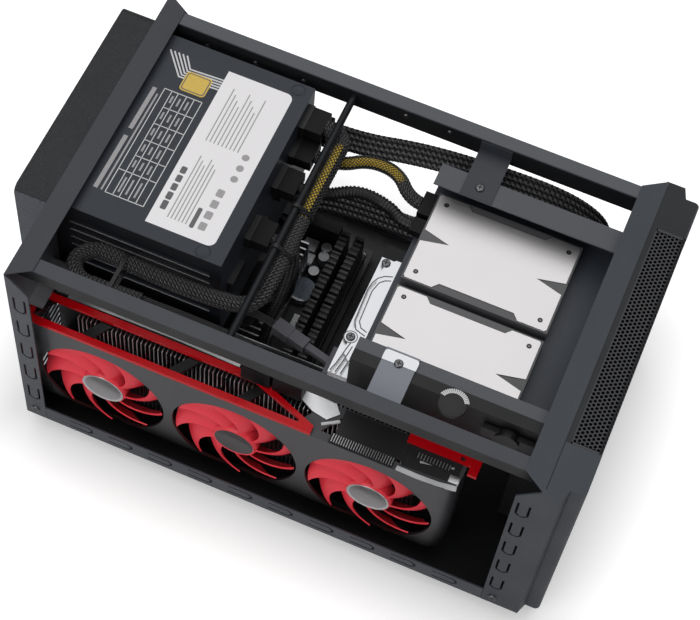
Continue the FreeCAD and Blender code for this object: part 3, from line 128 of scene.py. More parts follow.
# Long fine scratches of brushed metal, drawn out along one axis
def brushGroup():
    tree, given, leave = groupTree("brushLines", {**patternInputs, "Stretch": "Vector"}, patternOutputs)
    where = ownSpace(tree)
    drawn = vectorCalc(tree, "MULTIPLY", where, given["Stretch"])
    lines = noise(tree, drawn, 1.0, patternStyle["lineDetail"], patternStyle["lineRough"])
    cloud = noise(tree, where, *patternStyle["lineCloud"])
    clear = remap(tree, lines, *patternStyle["range"], 0.0, 1.0)
    return leavePattern(tree, given, leave, clear, cloud, lines, lines)


# One inside a box of the object's own space, nought outside it
def boxGroup():
    tree, given, leave = groupTree("boxMask", {"Low": "Vector", "High": "Vector"}, {"Mask": "Float"})
    where = ownSpace(tree)
    mask = None
    for key, operation in (("Low", "GREATER_THAN"), ("High", "LESS_THAN")):
        axes = put(tree, "ShaderNodeSeparateXYZ", {0: vectorCalc(tree, "SUBTRACT", where, given[key])})
        for axis in ("X", "Y", "Z"):
            side = calc(tree, operation, axes.outputs[axis], 0.0)
            mask = calc(tree, "MULTIPLY", mask, side) if mask else side
    tree.links.new(mask, leave.inputs["Mask"])
    return tree


groups = {"grain": grainGroup(), "brush": brushGroup(), "box": boxGroup()}
print("shader groups built")


def newMaterial(name):
    material = bpy.data.materials.new(name)
    material.use_nodes = True
    tree = material.node_tree
    return material, tree, tree.nodes["Principled BSDF"]


# Three numbers as they are, or one number three times
def three(value):
    return value if isinstance(value, tuple) else (value,) * 3


def shade(tone):
    return (*three(tone), 1.0)


def toned(tree, share, colour, tint):
    return blendColour(tree, share, colour, blendColour(tree, 1.0, colour, shade(tint), "MULTIPLY"))


# Another tone within one box of the part, where the photograph shows one; it carries real tones, and also painted shade
# and painted light on some faces and hollows
def boxToneAndPaintedLight(tree, colour, area):
    if not area:
        return colour
    corners = {"Low": area.get("low", (-1, -1, -1)), "High": area.get("high", (1, 1, 1))}
    inside = put(tree, "ShaderNodeGroup", corners, node_tree=groups["box"])
    return toned(tree, inside.outputs["Mask"], colour, area["tint"])


# Darker towards the foot of the part
def darkened(tree, colour, fade):
    if not fade:
        return colour
    height = put(tree, "ShaderNodeSeparateXYZ", {0: ownSpace(tree)}).outputs["Z"]
    return toned(tree, remap(tree, height, fade["low"], fade["high"], 1.0, 0.0), colour, fade["tint"])


reliefDepth = {"grain": 0.0003, "brush": 0.0002}
clearCoatRough = 0.08


def patterned(name, group, values, bump, area=None, fade=None):
    material, tree, skin = newMaterial(name)
    pattern = put(tree, "ShaderNodeGroup", values, node_tree=groups[group])
    colour = darkened(tree, boxToneAndPaintedLight(tree, pattern.outputs["Colour"], area), fade)
    links = {"Strength": bump, "Distance": reliefDepth[group], "Height": pattern.outputs["Height"]}
    relief = put(tree, "ShaderNodeBump", links)
    sockets = {"Base Color": colour, "Roughness": pattern.outputs["Roughness"], "Normal": relief.outputs[0]}
    for key, value in sockets.items():
        tree.links.new(value, skin.inputs[key])
    return material, skin


def toneValues(dark, light, rough):
    return {"Dark": shade(dark), "Light": shade(light), "Rough Low": rough[0], "Rough High": rough[1]}


def coated(name, dark, light, scale, rough, bump, metallic=0.0, coat=0.0, specular=0.35, area=None, fade=None):
    values = {**toneValues(dark, light, rough), "Scale": scale}
    material, skin = patterned(name, "grain", values, bump, area, fade)
    numbers = {"Metallic": metallic, "Coat Weight": coat, "Coat Roughness": clearCoatRough,
               "Specular IOR Level": specular}
    for key, value in numbers.items():
        skin.inputs[key].default_value = value
    return material


def brushed(name, dark, light, stretch, rough=(0.25, 0.45), bump=0.06, area=None):
    values = {**toneValues(dark, light, rough), "Stretch": three(stretch)}
    material, skin = patterned(name, "brush", values, bump, area)
    skin.inputs["Metallic"].default_value = 1.0
    return material


# Pattern, roughness and relief that several finishes share
steelGrain = (1800.0, (0.4, 0.52), 0.12)
inkGrain = (1600.0, (0.5, 0.6), 0.03)

# Maker, dark and light tone, pattern, roughness, relief and what else differs
finishRows = {
    "chassisCoat": (coated, (0.032, 0.038, 0.049), (0.046, 0.053, 0.066), *steelGrain),
    "hoodCoat": (coated, (0.012, 0.013, 0.016), (0.03, 0.032, 0.036), 900.0, (0.5, 0.65), 0.5,
        {"area": {"high": (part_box("psu_hood")[0][0] + 0.0006, 1, 1), "tint": (4.0, 4.0, 4.1)}}),
    "bezelPlastic": (coated, (0.034, 0.04, 0.051), (0.042, 0.049, 0.06), 2600.0, (0.38, 0.5), 0.06,
        {"area": {"low": (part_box("mesh_panel")[0][0], -0.2008, 0.19), "high": (0.1205, -0.1785, 1),
                  "tint": 0.2}}),
    "meshCoat": (coated, (0.024, 0.025, 0.028), (0.04, 0.041, 0.045), 2000.0, (0.22, 0.3), 0.05),
    "blackPlastic": (coated, (0.008, 0.008, 0.009), (0.015, 0.015, 0.017), 2000.0, (0.35, 0.5), 0.08),
    "glossBlack": (coated, (0.006, 0.006, 0.007), (0.01, 0.01, 0.011), 900.0, (0.12, 0.2), 0.02, {"coat": 0.5}),
    "footRubber": (coated, 0.01, 0.02, 700.0, (0.7, 0.85), 0.2),
    "darkScrew": (brushed, (0.1, 0.1, 0.105), (0.22, 0.22, 0.23), 900.0, (0.3, 0.45)),
    "rodCoat": (coated, (0.007, 0.008, 0.01), (0.012, 0.013, 0.016), 1500.0, (0.3, 0.4), 0.04, {"specular": 0.2}),
    # trayCoat: the floor inside the tray is painted near-black (tint 0.05), painted shade
    "trayCoat": (coated, (0.054, 0.06, 0.073), (0.07, 0.077, 0.092), *steelGrain,
        {"area": {"low": (-0.1185, -1, -1), "high": (0.1185, 1, 0.0165), "tint": 0.05}}),
    # panelCoat: the top of the rear panel is painted darker (tint 0.62) than its sides, painted shade on the top
    "panelCoat": (coated, (0.056, 0.061, 0.072), (0.074, 0.08, 0.092), *steelGrain,
        {"area": {"low": (-1, -1, 0.1988), "tint": (0.62, 0.62, 0.64)}}),
    # nearRailCoat: the near rail's faces below its top are painted near-black (tint 0.15), painted shade
    "nearRailCoat": (coated, (0.042, 0.046, 0.056), (0.056, 0.061, 0.072), *steelGrain,
        {"area": {"low": (-1, -1, 0.1), "high": (1, 1, 0.1996), "tint": 0.15}}),
    # railCoat: the far rail's faces below its top, with its inner flange, are painted near-black (tint 0.1), painted
    # shade
    "railCoat": (coated, (0.078, 0.083, 0.095), (0.096, 0.102, 0.115), *steelGrain,
        {"area": {"low": (-0.1115, -1, 0.1), "high": (0.1115, 1, 0.1996), "tint": 0.1}}),
    # cageCoat: the cage lip on the near side is painted near-black (tint 0.06), painted shade
    "cageCoat": (coated, (0.07, 0.075, 0.086), (0.09, 0.095, 0.107), *steelGrain,
        {"area": {"high": (-0.0708, 1, 1), "tint": 0.06}}),
    # bracketCoat: the near bracket is painted much lighter (tint 6.4, 6.0, 5.6) than the far one, painted light
    "bracketCoat": (coated, (0.03, 0.034, 0.042), (0.038, 0.043, 0.052), 1800.0, (0.4, 0.52), 0.1,
        {"area": {"high": (0, 1, 1), "tint": (6.4, 6.0, 5.6)}}),
    # sleeveLow: a darker copy of the sleeve finish for the threads wound the other way, painted shade
    "sleeveLow": (coated, (0.012, 0.012, 0.013), (0.03, 0.03, 0.032), 2600.0, (0.3, 0.45), 0.2),
    "driveGrey": (coated, (0.09, 0.09, 0.095), (0.12, 0.12, 0.125), 2400.0, (0.4, 0.5), 0.06),
    "drivePlate": (brushed, (0.63, 0.61, 0.62), (0.78, 0.765, 0.775), (2600.0, 26.0, 2600.0), (0.42, 0.54), 0.05),
    "driveAlloy": (brushed, (0.58, 0.59, 0.61), (0.66, 0.67, 0.69), (90.0, 900.0, 900.0), (0.34, 0.42), 0.01,
        {"area": {"low": (0.0135, -0.05, 0.13), "high": (0.05, 0.0, 1), "tint": 0.03}}),
    # supplyCoat: the supply's near side is painted darker (tint 0.3), painted shade
    "supplyCoat": (coated, (0.024, 0.029, 0.039), (0.031, 0.036, 0.047), 2200.0, (0.36, 0.46), 0.06,
        {"specular": 0.3, "area": {"high": (-0.0556, 1, 1), "tint": 0.3}}),
    "wireGuard": (brushed, (0.6, 0.6, 0.62), (0.75, 0.75, 0.77), 500.0, (0.15, 0.25)),
    "bareBoard": (coated, (0.1, 0.07, 0.03), (0.16, 0.12, 0.05), 700.0, (0.5, 0.6), 0.1),
    "plugGrey": (coated, (0.005, 0.005, 0.006), (0.009, 0.009, 0.01), 2000.0, (0.45, 0.55), 0.06,
        {"specular": 0.15,
         "area": {"low": (-0.08, -0.03, 0.125), "high": (-0.045, 0.032, 0.165), "tint": 13.0}}),
    "boardBlack": (coated, (0.006, 0.007, 0.008), (0.014, 0.015, 0.017), 900.0, (0.3, 0.4), 0.05),
    "standoffBrass": (brushed, (0.55, 0.38, 0.13), (0.72, 0.53, 0.22), 900.0),
    "portMetal": (brushed, (0.5, 0.5, 0.52), (0.66, 0.66, 0.68), (900.0, 60.0, 900.0)),
    "boardAlloy": (coated, (0.4, 0.41, 0.42), (0.6, 0.61, 0.63), 700.0, (0.3, 0.5), 0.1,
        {"metallic": 0.6,
         "area": {"low": (0.034, 0.021, -1), "high": (0.063, 0.049, 0.0305), "tint": (0.2, 0.23, 0.27)}}),
    "finAlloy": (brushed, (0.42, 0.42, 0.44), (0.62, 0.62, 0.64), (2200.0, 2200.0, 90.0), (0.3, 0.45)),
    "shroudPlate": (coated, (0.05, 0.05, 0.056), (0.064, 0.064, 0.07), 2000.0, (0.3, 0.4), 0.04,
        {"area": {"low": (-0.1055, 0.0, 0.12), "tint": 0.1},
         "fade": {"low": 0.045, "high": 0.085, "tint": 0.1}}),
    "trimRed": (coated, (0.5, 0.001, 0.004), (0.6, 0.002, 0.008), 1200.0, (0.2, 0.28), 0.02, {"specular": 0.18}),
    "bladeRed": (coated, (0.84, 0.04, 0.062), (0.94, 0.054, 0.082), 1600.0, (0.36, 0.46), 0.03),
    "pipeCopper": (brushed, (0.6, 0.28, 0.14), (0.78, 0.4, 0.22), 600.0),
    "sleeve": (coated, (0.034, 0.034, 0.036), (0.09, 0.09, 0.094), 2600.0, (0.25, 0.4), 0.2, {"specular": 0.5}),
    # sleeveDepth: the core between the threads: the black wires inside, painted darker than black plastic as shade
    # between the threads
    "sleeveDepth": (coated, 0.002, 0.005, 900.0, (0.7, 0.85), 0.2, {"specular": 0.1}),
    "yellowWire": (coated, (0.5, 0.33, 0.012), (0.74, 0.52, 0.04), 800.0, (0.35, 0.5), 0.2),
    "loomPlastic": (coated, 0.006, 0.016, 1500.0, (0.28, 0.4), 0.08),
    "stickerPaper": (coated, (0.86, 0.845, 0.86), (0.9, 0.885, 0.9), *inkGrain),
    "stickerInk": (coated, (0.32, 0.31, 0.32), (0.42, 0.41, 0.42), *inkGrain),
    "stickerBold": (coated, (0.1, 0.1, 0.105), (0.16, 0.16, 0.165), *inkGrain),
    "printWhite": (coated, (0.6, 0.6, 0.61), (0.72, 0.72, 0.73), *inkGrain),
    "badgeGold": (coated, (0.62, 0.42, 0.07), (0.74, 0.52, 0.11), 1400.0, (0.3, 0.4), 0.03),
    "capGrey": (brushed, (0.32, 0.32, 0.33), (0.46, 0.46, 0.47), 500.0, (0.3, 0.42), 0.03),
    "capDark": (coated, (0.05, 0.048, 0.05), (0.075, 0.072, 0.074), 1600.0, (0.3, 0.4), 0.03),
    "capRing": (brushed, (0.62, 0.61, 0.62), (0.76, 0.75, 0.76), 700.0, (0.25, 0.35), 0.02),
    "trimSilver": (brushed, (0.6, 0.61, 0.62), (0.72, 0.72, 0.73), (900.0, 60.0, 900.0), (0.34, 0.44), 0.01),
    # recessDark: near-black for dark seams, and painted shade in screw recesses and screw holes
    "recessDark": (coated, (0.006, 0.006, 0.007), (0.014, 0.014, 0.015), 1500.0, (0.5, 0.6), 0.05),
}
finishes = {}
for finishName, (maker, *values) in finishRows.items():
    options = values.pop() if isinstance(values[-1], dict) else {}
    finishes[finishName] = maker(finishName, *values, **options)

# The finish of each slot, and of the nodes that differ from their slot
wears = {
    "chassis_steel": "chassisCoat", "hood_steel": "hoodCoat", "bezel_plastic": "bezelPlastic",
    "mesh_steel": "meshCoat", "port_plastic": "blackPlastic", "button_plastic": "glossBlack",
    "foot_rubber": "footRubber", "screw_steel": "darkScrew", "rod_steel": "rodCoat",
    "latch_plastic": "blackPlastic", "ssd_shell": "driveGrey", "ssd_plate": "drivePlate",
    "drive_alloy": "driveAlloy", "fan_plastic": "blackPlastic", "psu_steel": "supplyCoat",
    "guard_wire": "wireGuard", "psu_inner": "bareBoard", "socket_plastic": "blackPlastic",
    "plug_plastic": "plugGrey", "board_laminate": "boardBlack", "standoff_brass": "standoffBrass",
    "port_metal": "portMetal", "memory_cover": "blackPlastic", "board_metal": "boardAlloy",
    "heatsink_alloy": "finAlloy", "shroud_plastic": "shroudPlate", "trim_red": "trimRed",
    "blade_red": "bladeRed", "pipe_copper": "pipeCopper", "cable_sleeve": "sleeve", "tie_nylon": "blackPlastic",
}
dressed = {
    "base_tray": "trayCoat", "left_top_rail": "nearRailCoat", "right_top_rail": "railCoat",
    "rear_panel": "panelCoat", "drive_cage": "cageCoat", "cage_brackets": "bracketCoat",
}
for part in frame["record"]["subparts"]:
    solid = frame["nodes"][part["node"]]
    solid.data.materials.clear()
    solid.data.materials.append(finishes[dressed.get(part["node"]) or wears[part["material_slot"]]])
print("solids dressed")


# Mesh helpers: pieces are drawn in millimetres and kept in metres
def addBlock(bm, low, high, paint=0, soften=0.0, turn=None):
    made = bmesh.ops.create_cube(bm, size=1.0)["verts"]
    middle = [(a + b) / 2 for a, b in zip(low, high)]
    span = [b - a for a, b in zip(low, high)]
    place = Matrix.Translation(middle) @ (turn or Matrix.Identity(4)) @ Matrix.Diagonal((*span, 1.0))
    bmesh.ops.transform(bm, matrix=place, verts=made)
    for face in {face for vert in made for face in vert.link_faces}:
        face.material_index = paint
    if soften:
        edges = list({edge for vert in made for edge in vert.link_edges})
        bmesh.ops.bevel(bm, geom=edges, offset=soften, segments=2, profile=0.5, affect="EDGES")


def axisPlace(centre, axis):
    turn = Vector((0, 0, 1)).rotation_difference(Vector(axis))
    return Matrix.Translation(centre) @ turn.to_matrix().to_4x4()


def circleOutline(radius, sides):
    angles = [math.tau * k / sides for k in range(sides)]
    return [(radius * math.cos(angle), radius * math.sin(angle)) for angle in angles]


# Turned shape from (radius, height) pairs that start and end on the axis
def addLathe(bm, profile, place, sides=32, paints=None):
    rings = []
    for radius, height in profile:
        spots = circleOutline(radius, sides) if radius else [(0, 0)]
        rings.append([bm.verts.new(place @ Vector((x, y, height))) for x, y in spots])
    for band, (low, high) in enumerate(zip(rings, rings[1:])):
        for k in range(sides):
            after = (k + 1) % sides
            corners = [low[k % len(low)], low[after % len(low)], high[after % len(high)], high[k % len(high)]]
            face = bm.faces.new(list(dict.fromkeys(corners)))
            face.material_index = paints[band] if paints else 0


# Faces between rings of points, with one paint or one asked for each face
def addBands(bm, rings, paint=0, closed=True):
    for band, (low, high) in enumerate(zip(rings, rings[1:])):
        for k in range(len(low) if closed else len(low) - 1):
            after = (k + 1) % len(low)
            face = bm.faces.new((low[k], low[after], high[after], high[k]))
            face.material_index = paint(band, k / len(low)) if callable(paint) else paint


def addCaps(bm, rings, paint=0):
    for ring in (rings[0][::-1], rings[-1]):
        bm.faces.new(ring).material_index = paint


def addPlate(bm, outline, low, high, paint=0):
    rings = [[bm.verts.new((x, y, level)) for x, y in outline] for level in (low, high)]
    addCaps(bm, rings, paint)
    addBands(bm, rings, paint)


# Points with a side and an up direction that are carried along without twist
def framesAlong(line, first=(1, 0, 0)):
    side = Vector(first)
    travel = 0.0
    frames = []
    for index, point in enumerate(line):
        ahead = (line[min(index + 1, len(line) - 1)] - line[max(index - 1, 0)]).normalized()
        side = (side - ahead * side.dot(ahead)).normalized()
        if index:
            travel += (point - line[index - 1]).length
        frames.append((point, side, ahead.cross(side), travel))
    return frames


def addSweep(bm, frames, outline, paint=0):
    rings = [[bm.verts.new(point + side * a + up * b) for a, b in outline(travel)]
             for point, side, up, travel in frames]
    addBands(bm, rings, paint)
    addCaps(bm, rings, 0 if callable(paint) else paint)


def boxOf(node):
    return [[value / mm for value in corner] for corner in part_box(node)]


def keepPiece(bm, name, skins, body="chassis", stands=(), crease=35.0):
    bmesh.ops.scale(bm, vec=(mm, mm, mm), verts=bm.verts)
    bmesh.ops.recalc_face_normals(bm, faces=bm.faces)
    mesh = bpy.data.meshes.new(name)
    bm.to_mesh(mesh)
    bm.free()
    for skin in skins:
        mesh.materials.append(finishes[skin])
    mesh.shade_smooth()
    mesh.set_sharp_from_angle(angle=math.radians(crease))
    piece = bpy.data.objects.new(name, mesh)
    scene.collection.objects.link(piece)
    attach(piece, body)
    if stands:
        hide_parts(*stands)
    return piece


# The mesh that an object's spline or nodes make; the object itself goes
def bakedMesh(holder):
    scene.collection.objects.link(holder)
    bpy.context.view_layer.update()
    depsgraph = bpy.context.evaluated_depsgraph_get()
    mesh = bpy.data.meshes.new_from_object(holder.evaluated_get(depsgraph), depsgraph=depsgraph)
    bpy.data.objects.remove(holder)
    return mesh


# Cords: the route's points in metres, close to those in the part's source, and what their sleeves look like
cords = {
    "boardPowerCord": {
        "node": "board_power_cable", "length": 0.469, "diameter": 0.018, "look": "flat",
        "points": [(0.084, 0.04325, 0.168), (0.084, 0.022, 0.168), (0.091, -0.02, 0.173), (0.095, -0.07, 0.174),
                   (0.097, -0.124, 0.172), (0.0995, -0.154, 0.15), (0.0995, -0.15, 0.1121), (0.097, -0.098, 0.0841),
                   (0.094, -0.038, 0.0761), (0.091, 0.012, 0.0801), (0.09, 0.04525, 0.0761), (0.09, 0.05425, 0.0611),
                   (0.09, 0.05425, 0.0451)]},
    "graphicsCord": {
        "node": "graphics_cable", "length": 0.424, "diameter": 0.0106, "look": "braid",
        "yellow": (20.0, 84.0), "bareEnd": 92.0, "wires": 6,
        "points": [(0.076, 0.04325, 0.1837), (0.076, 0.02845, 0.1837), (0.05, 0.028, 0.187), (0.0, 0.0288, 0.1868),
                   (-0.044, 0.0285, 0.186), (-0.065, 0.032, 0.18), (-0.066, 0.05525, 0.172), (-0.066, 0.09925, 0.171),
                   (-0.0645, 0.125, 0.1715), (-0.0635, 0.143, 0.172), (-0.0765, 0.153, 0.172), (-0.0895, 0.143, 0.172),
                   (-0.0885, 0.125, 0.1715), (-0.086, 0.08925, 0.171), (-0.085, 0.04725, 0.169),
                   (-0.086, 0.01825, 0.168), (-0.086, 0.01825, 0.1525)]},
    "processorCord": {
        "node": "processor_cable", "length": 0.149, "diameter": 0.007, "look": "braid",
        "points": [(-0.01, 0.04325, 0.1717), (-0.01, 0.029, 0.1717), (-0.012, 0.028, 0.1517), (-0.018, 0.031, 0.1247),
                   (-0.025, 0.036, 0.0967), (-0.0295, 0.03925, 0.0697), (-0.03, 0.04025, 0.0501),
                   (-0.03, 0.04025, 0.0351)]},
    "drivePowerCord": {
        "node": "drive_cables", "length": 0.084, "diameter": 0.009, "look": "braid", "yellow": (14.0, 66.0),
        "points": [(0.06, 0.04325, 0.1717), (0.06, 0.027, 0.1717), (0.0735, 0.01, 0.1705), (0.0735, -0.011, 0.169),
                   (0.0585, -0.0245, 0.168), (0.0578, -0.03325, 0.168)]},
    "driveLoomCord": {
        "node": "drive_cables", "length": 0.082, "diameter": 0.0088, "look": "loom",
        "points": [(0.033, 0.04325, 0.1717), (0.033, 0.028, 0.1717), (0.05, 0.008, 0.1687), (0.047, -0.015, 0.168),
                   (0.0398, -0.0255, 0.168), (0.0398, -0.03325, 0.168)]},
    "hardDriveCord": {
        "node": "drive_cables", "length": 0.074, "diameter": 0.0054, "look": "wires", "wires": 5,
        "points": [(-0.066, 0.09, 0.1639), (-0.0645, 0.071, 0.1615), (-0.059, 0.053, 0.1535), (-0.0506, 0.03458, 0.146),
                   (-0.054, 0.021, 0.146)]},
}
sleeveStyle = {"threads": 12, "thinThreads": 7, "flatThreads": 4, "thinBelow": 4.0, "cover": 0.6, "coverYellow": 0.3,
               "edge": 0.93, "lead": 6.4, "rise": 0.26, "core": 0.86, "fade": 5.0, "steps": 44,
               "yellowSide": (-0.35, -0.1, 0.93), "yellowReach": 0.74, "yellowFrom": 0.2, "flatStrands": 4,
               "flatSwell": 1.04, "wireShare": 0.94, "loomRibs": 2.6, "loomGroove": 0.86}


# The route's smooth line, read from its own spline
def readLine(name, points):
    curve = bpy.data.curves.new(name, "CURVE")
    curve.dimensions = "3D"
    curve.resolution_u = sleeveStyle["steps"]
    spline = curve.splines.new("NURBS")
    spline.points.add(len(points) - 1)
    for control, place in zip(spline.points, points):
        control.co = (*place, 1.0)
    spline.order_u = 3
    spline.use_endpoint_u = True
    mesh = bakedMesh(bpy.data.objects.new(name, curve))
    line = [vert.co.copy() for vert in mesh.vertices]
    bpy.data.curves.remove(curve)
    bpy.data.meshes.remove(mesh)
    return line


# Threads wound both ways over a core, each one riding over and under those it meets; the threads wound one way are a
# darker copy of the sleeve finish, painted shade
def addBraid(bm, frames, radius, threads, yellow=(0.0, 0.0)):
    lead = radius * sleeveStyle["lead"]
    wide, narrow = (math.pi / threads * sleeveStyle[key] for key in ("cover", "coverYellow"))
    shows = Vector(sleeveStyle["yellowSide"])

    # How far the threads part where the yellow wires show
    def opened(travel):
        ramps = ((travel - yellow[0]) / sleeveStyle["fade"], (yellow[1] - travel) / sleeveStyle["fade"])
        return max(min(*ramps, 1.0), 0.0)

    def core(band, share):
        point, side, up, travel = frames[band]
        outward = side * math.cos(math.tau * share) + up * math.sin(math.tau * share)
        bare = opened(travel) > sleeveStyle["yellowFrom"]
        return 2 if bare and outward.dot(shows) > sleeveStyle["yellowReach"] else 1

    addSweep(bm, frames, lambda travel: circleOutline(radius * sleeveStyle["core"], 20), core)
    for way, paint in ((1, 0), (-1, 3)):
        for number in range(threads):
            def thread(travel):
                middle = math.tau * (number / threads + way * travel / lead)
                ride = way * sleeveStyle["rise"] * math.cos(math.tau * threads * travel / lead)
                half = wide + (narrow - wide) * opened(travel)
                spots = ((-half, sleeveStyle["edge"]), (0.0, 1.0), (half, sleeveStyle["edge"]))
                return [((radius * share + ride) * math.cos(middle + a), (radius * share + ride) * math.sin(middle + a))
                        for a, share in spots]
            addSweep(bm, frames, thread, paint)


# The radius of strands side by side, and each one's own frames
def sideBySide(frames, radius, count, first):
    thin = radius / count
    shifts = [(2 * number + 1 - count) * thin for number in range(count)]
    return thin, [framesAlong([point + side * shift for point, side, up, travel in frames], first) for shift in shifts]


def addWires(bm, frames, radius, count):
    thin, strands = sideBySide(frames, radius, count, frames[0][1])
    for strand in strands:
        addSweep(bm, strand, lambda travel: circleOutline(thin * sleeveStyle["wireShare"], 10), 4)


def addFlat(bm, frames, radius):
    thin, strands = sideBySide(frames, radius, sleeveStyle["flatStrands"], (1, 0, 0))
    for strand in strands:
        addBraid(bm, strand, thin * sleeveStyle["flatSwell"], sleeveStyle["flatThreads"])


def addLoom(bm, frames, radius):
    def ribs(travel):
        raised = math.sin(travel * sleeveStyle["loomRibs"]) > 0
        return circleOutline(radius * (1.0 if raised else sleeveStyle["loomGroove"]), 18)
    addSweep(bm, frames, ribs, 4)


def addRound(bm, frames, radius, cord):
    covered = [spot for spot in frames if spot[3] <= frames[-1][3] - cord.get("bareEnd", 0.0)]
    threads = sleeveStyle["threads" if radius > sleeveStyle["thinBelow"] else "thinThreads"]
    addBraid(bm, covered, radius, threads, cord.get("yellow", (0.0, 0.0)))
    if len(covered) < len(frames):
        addWires(bm, frames[len(covered) - 3:], radius, cord["wires"])


def addCord(name, cord):
    line = readLine(name, cord["points"])
    route = [point / mm for point in line]
    radius = cord["diameter"] / mm / 2
    bm = bmesh.new()
    frames = framesAlong(route)
    if cord["look"] == "flat":
        addFlat(bm, frames, radius)
    elif cord["look"] == "braid":
        addRound(bm, frames, radius, cord)
    elif cord["look"] == "loom":
        addLoom(bm, frames, radius)
    else:
        addWires(bm, frames, radius, cord["wires"])
    skins = ("sleeve", "sleeveDepth", "yellowWire", "sleeveLow", "loomPlastic")
    piece = keepPiece(bm, name, skins, stands=(cord["node"],), crease=60.0)
    return route


routes = {name: addCord(name, cord) for name, cord in cords.items()}
print("cords laid:", len(routes))


# Nylon ties drawn round what they hold, at the same places as in the source
tieStyle = {"width": 2.6, "thick": 1.1, "slack": 0.1, "lock": (4.0, 4.0, 1.8), "lockAhead": 1.0, "soften": 0.4,
            "rod": (34.25, 194.0, 2.5), "rodPlaces": (5.0, -28.0), "foldPlace": 120.85, "foldMiddle": -76.0}


def hullRound(circles, steps=48):
    hull = []
    for k in range(steps):
        way = Vector((math.cos(math.tau * k / steps), math.sin(math.tau * k / steps)))
        best = max(circles, key=lambda c: way.x * c[0] + way.y * c[1] + c[2])
        hull.append(Vector((best[0], best[1])) + way * best[2])
    return hull


def addTie(bm, circles, place):
    inner = hullRound(circles)
    outer = hullRound([(a, b, r + tieStyle["thick"]) for a, b, r in circles])
    half = tieStyle["width"] / 2
    rings = [[bm.verts.new(place(spot, depth)) for spot in loop]
             for loop, depth in ((inner, -half), (outer, -half), (outer, half), (inner, half))]
    addBands(bm, rings + rings[:1])


def addTies():
    bm = bmesh.new()
    along = routes["graphicsCord"]
    sleeve = cords["graphicsCord"]["diameter"] / mm / 2 + tieStyle["slack"]
    lockX, lockY, lockZ = tieStyle["lock"]
    for x in tieStyle["rodPlaces"]:
        near = min(along, key=lambda point: abs(point.x - x))
        addTie(bm, [(near.y, near.z, sleeve), tieStyle["rod"]], lambda spot, depth: (x + depth, spot.x, spot.y))
        top = near.z + sleeve
        front, half = near.y - tieStyle["lockAhead"], lockX / 2
        corners = (x - half, front, top), (x + half, front + lockY, top + lockZ)
        addBlock(bm, *corners, soften=tieStyle["soften"])
    y, middle = tieStyle["foldPlace"], tieStyle["foldMiddle"]
    legs = [min((point for point in along if side(point.x)), key=lambda point: abs(point.y - y))
            for side in (lambda x: x > middle, lambda x: x < middle)]
    addTie(bm, [(leg.x, leg.z, sleeve) for leg in legs], lambda spot, depth: (spot.x, y + depth, spot.y))
    keepPiece(bm, "nylonTies", ("blackPlastic",), stands=("cable_ties",))


addTies()


# Geometry Nodes: copies in a ring, in a row or on given points, and a field of cells
treeInputs = {"Piece": "Object", "Finish": "Material", "Count": "Int", "Columns": "Int", "Rows": "Int",
              "Start": "Vector", "Step": "Vector", "Pitch": "Float", "Row Step": "Float"}


def nodeTree(name, *labels):
    tree = bpy.data.node_groups.new(name, "GeometryNodeTree")
    for label in ("Geometry", "Piece", *labels, "Finish"):
        kind = "NodeSocket" + treeInputs.get(label, "Geometry")
        tree.interface.new_socket(name=label, in_out="INPUT", socket_type=kind)
    tree.interface.new_socket(name="Geometry", in_out="OUTPUT", socket_type="NodeSocketGeometry")
    return tree, tree.nodes.new("NodeGroupInput").outputs, tree.nodes.new("NodeGroupOutput")


# Instances the piece on the points, makes it real and dresses it
def closeTree(tree, given, leave, points, turn=None):
    piece = put(tree, "GeometryNodeObjectInfo", {"Object": given["Piece"]}, transform_space="ORIGINAL")
    links = {"Points": points, "Instance": piece.outputs["Geometry"]}
    if turn:
        links["Rotation"] = turn
    copies = put(tree, "GeometryNodeInstanceOnPoints", links)
    real = put(tree, "GeometryNodeRealizeInstances", {"Geometry": copies.outputs[0]})
    finished = put(tree, "GeometryNodeSetMaterial", {"Geometry": real.outputs[0], "Material": given["Finish"]})
    tree.links.new(finished.outputs[0], leave.inputs["Geometry"])
    return tree


def indexValue(tree):
    return put(tree, "GeometryNodeInputIndex").outputs[0]


def ringTree():
    tree, given, leave = nodeTree("ringOfCopies", "Count")
    spots = put(tree, "GeometryNodePoints", {"Count": given["Count"]})
    share = calc(tree, "DIVIDE", indexValue(tree), given["Count"])
    turn = put(tree, "ShaderNodeCombineXYZ", {"Z": calc(tree, "MULTIPLY", share, math.tau)})
    return closeTree(tree, given, leave, spots.outputs[0], turn.outputs[0])


def rowTree():
    tree, given, leave = nodeTree("rowOfCopies", "Count", "Start", "Step")
    links = {"Count": given["Count"], "Start Location": given["Start"], "Offset": given["Step"]}
    return closeTree(tree, given, leave, put(tree, "GeometryNodeMeshLine", links).outputs[0])


def pointTree():
    tree, given, leave = nodeTree("copiesOnPoints")
    facing = put(tree, "GeometryNodeInputNamedAttribute", {"Name": "facing"}, data_type="FLOAT_VECTOR")
    turn = put(tree, "FunctionNodeAlignRotationToVector", {"Vector": facing.outputs[0]}, axis="Z")
    return closeTree(tree, given, leave, given["Geometry"], turn.outputs[0])


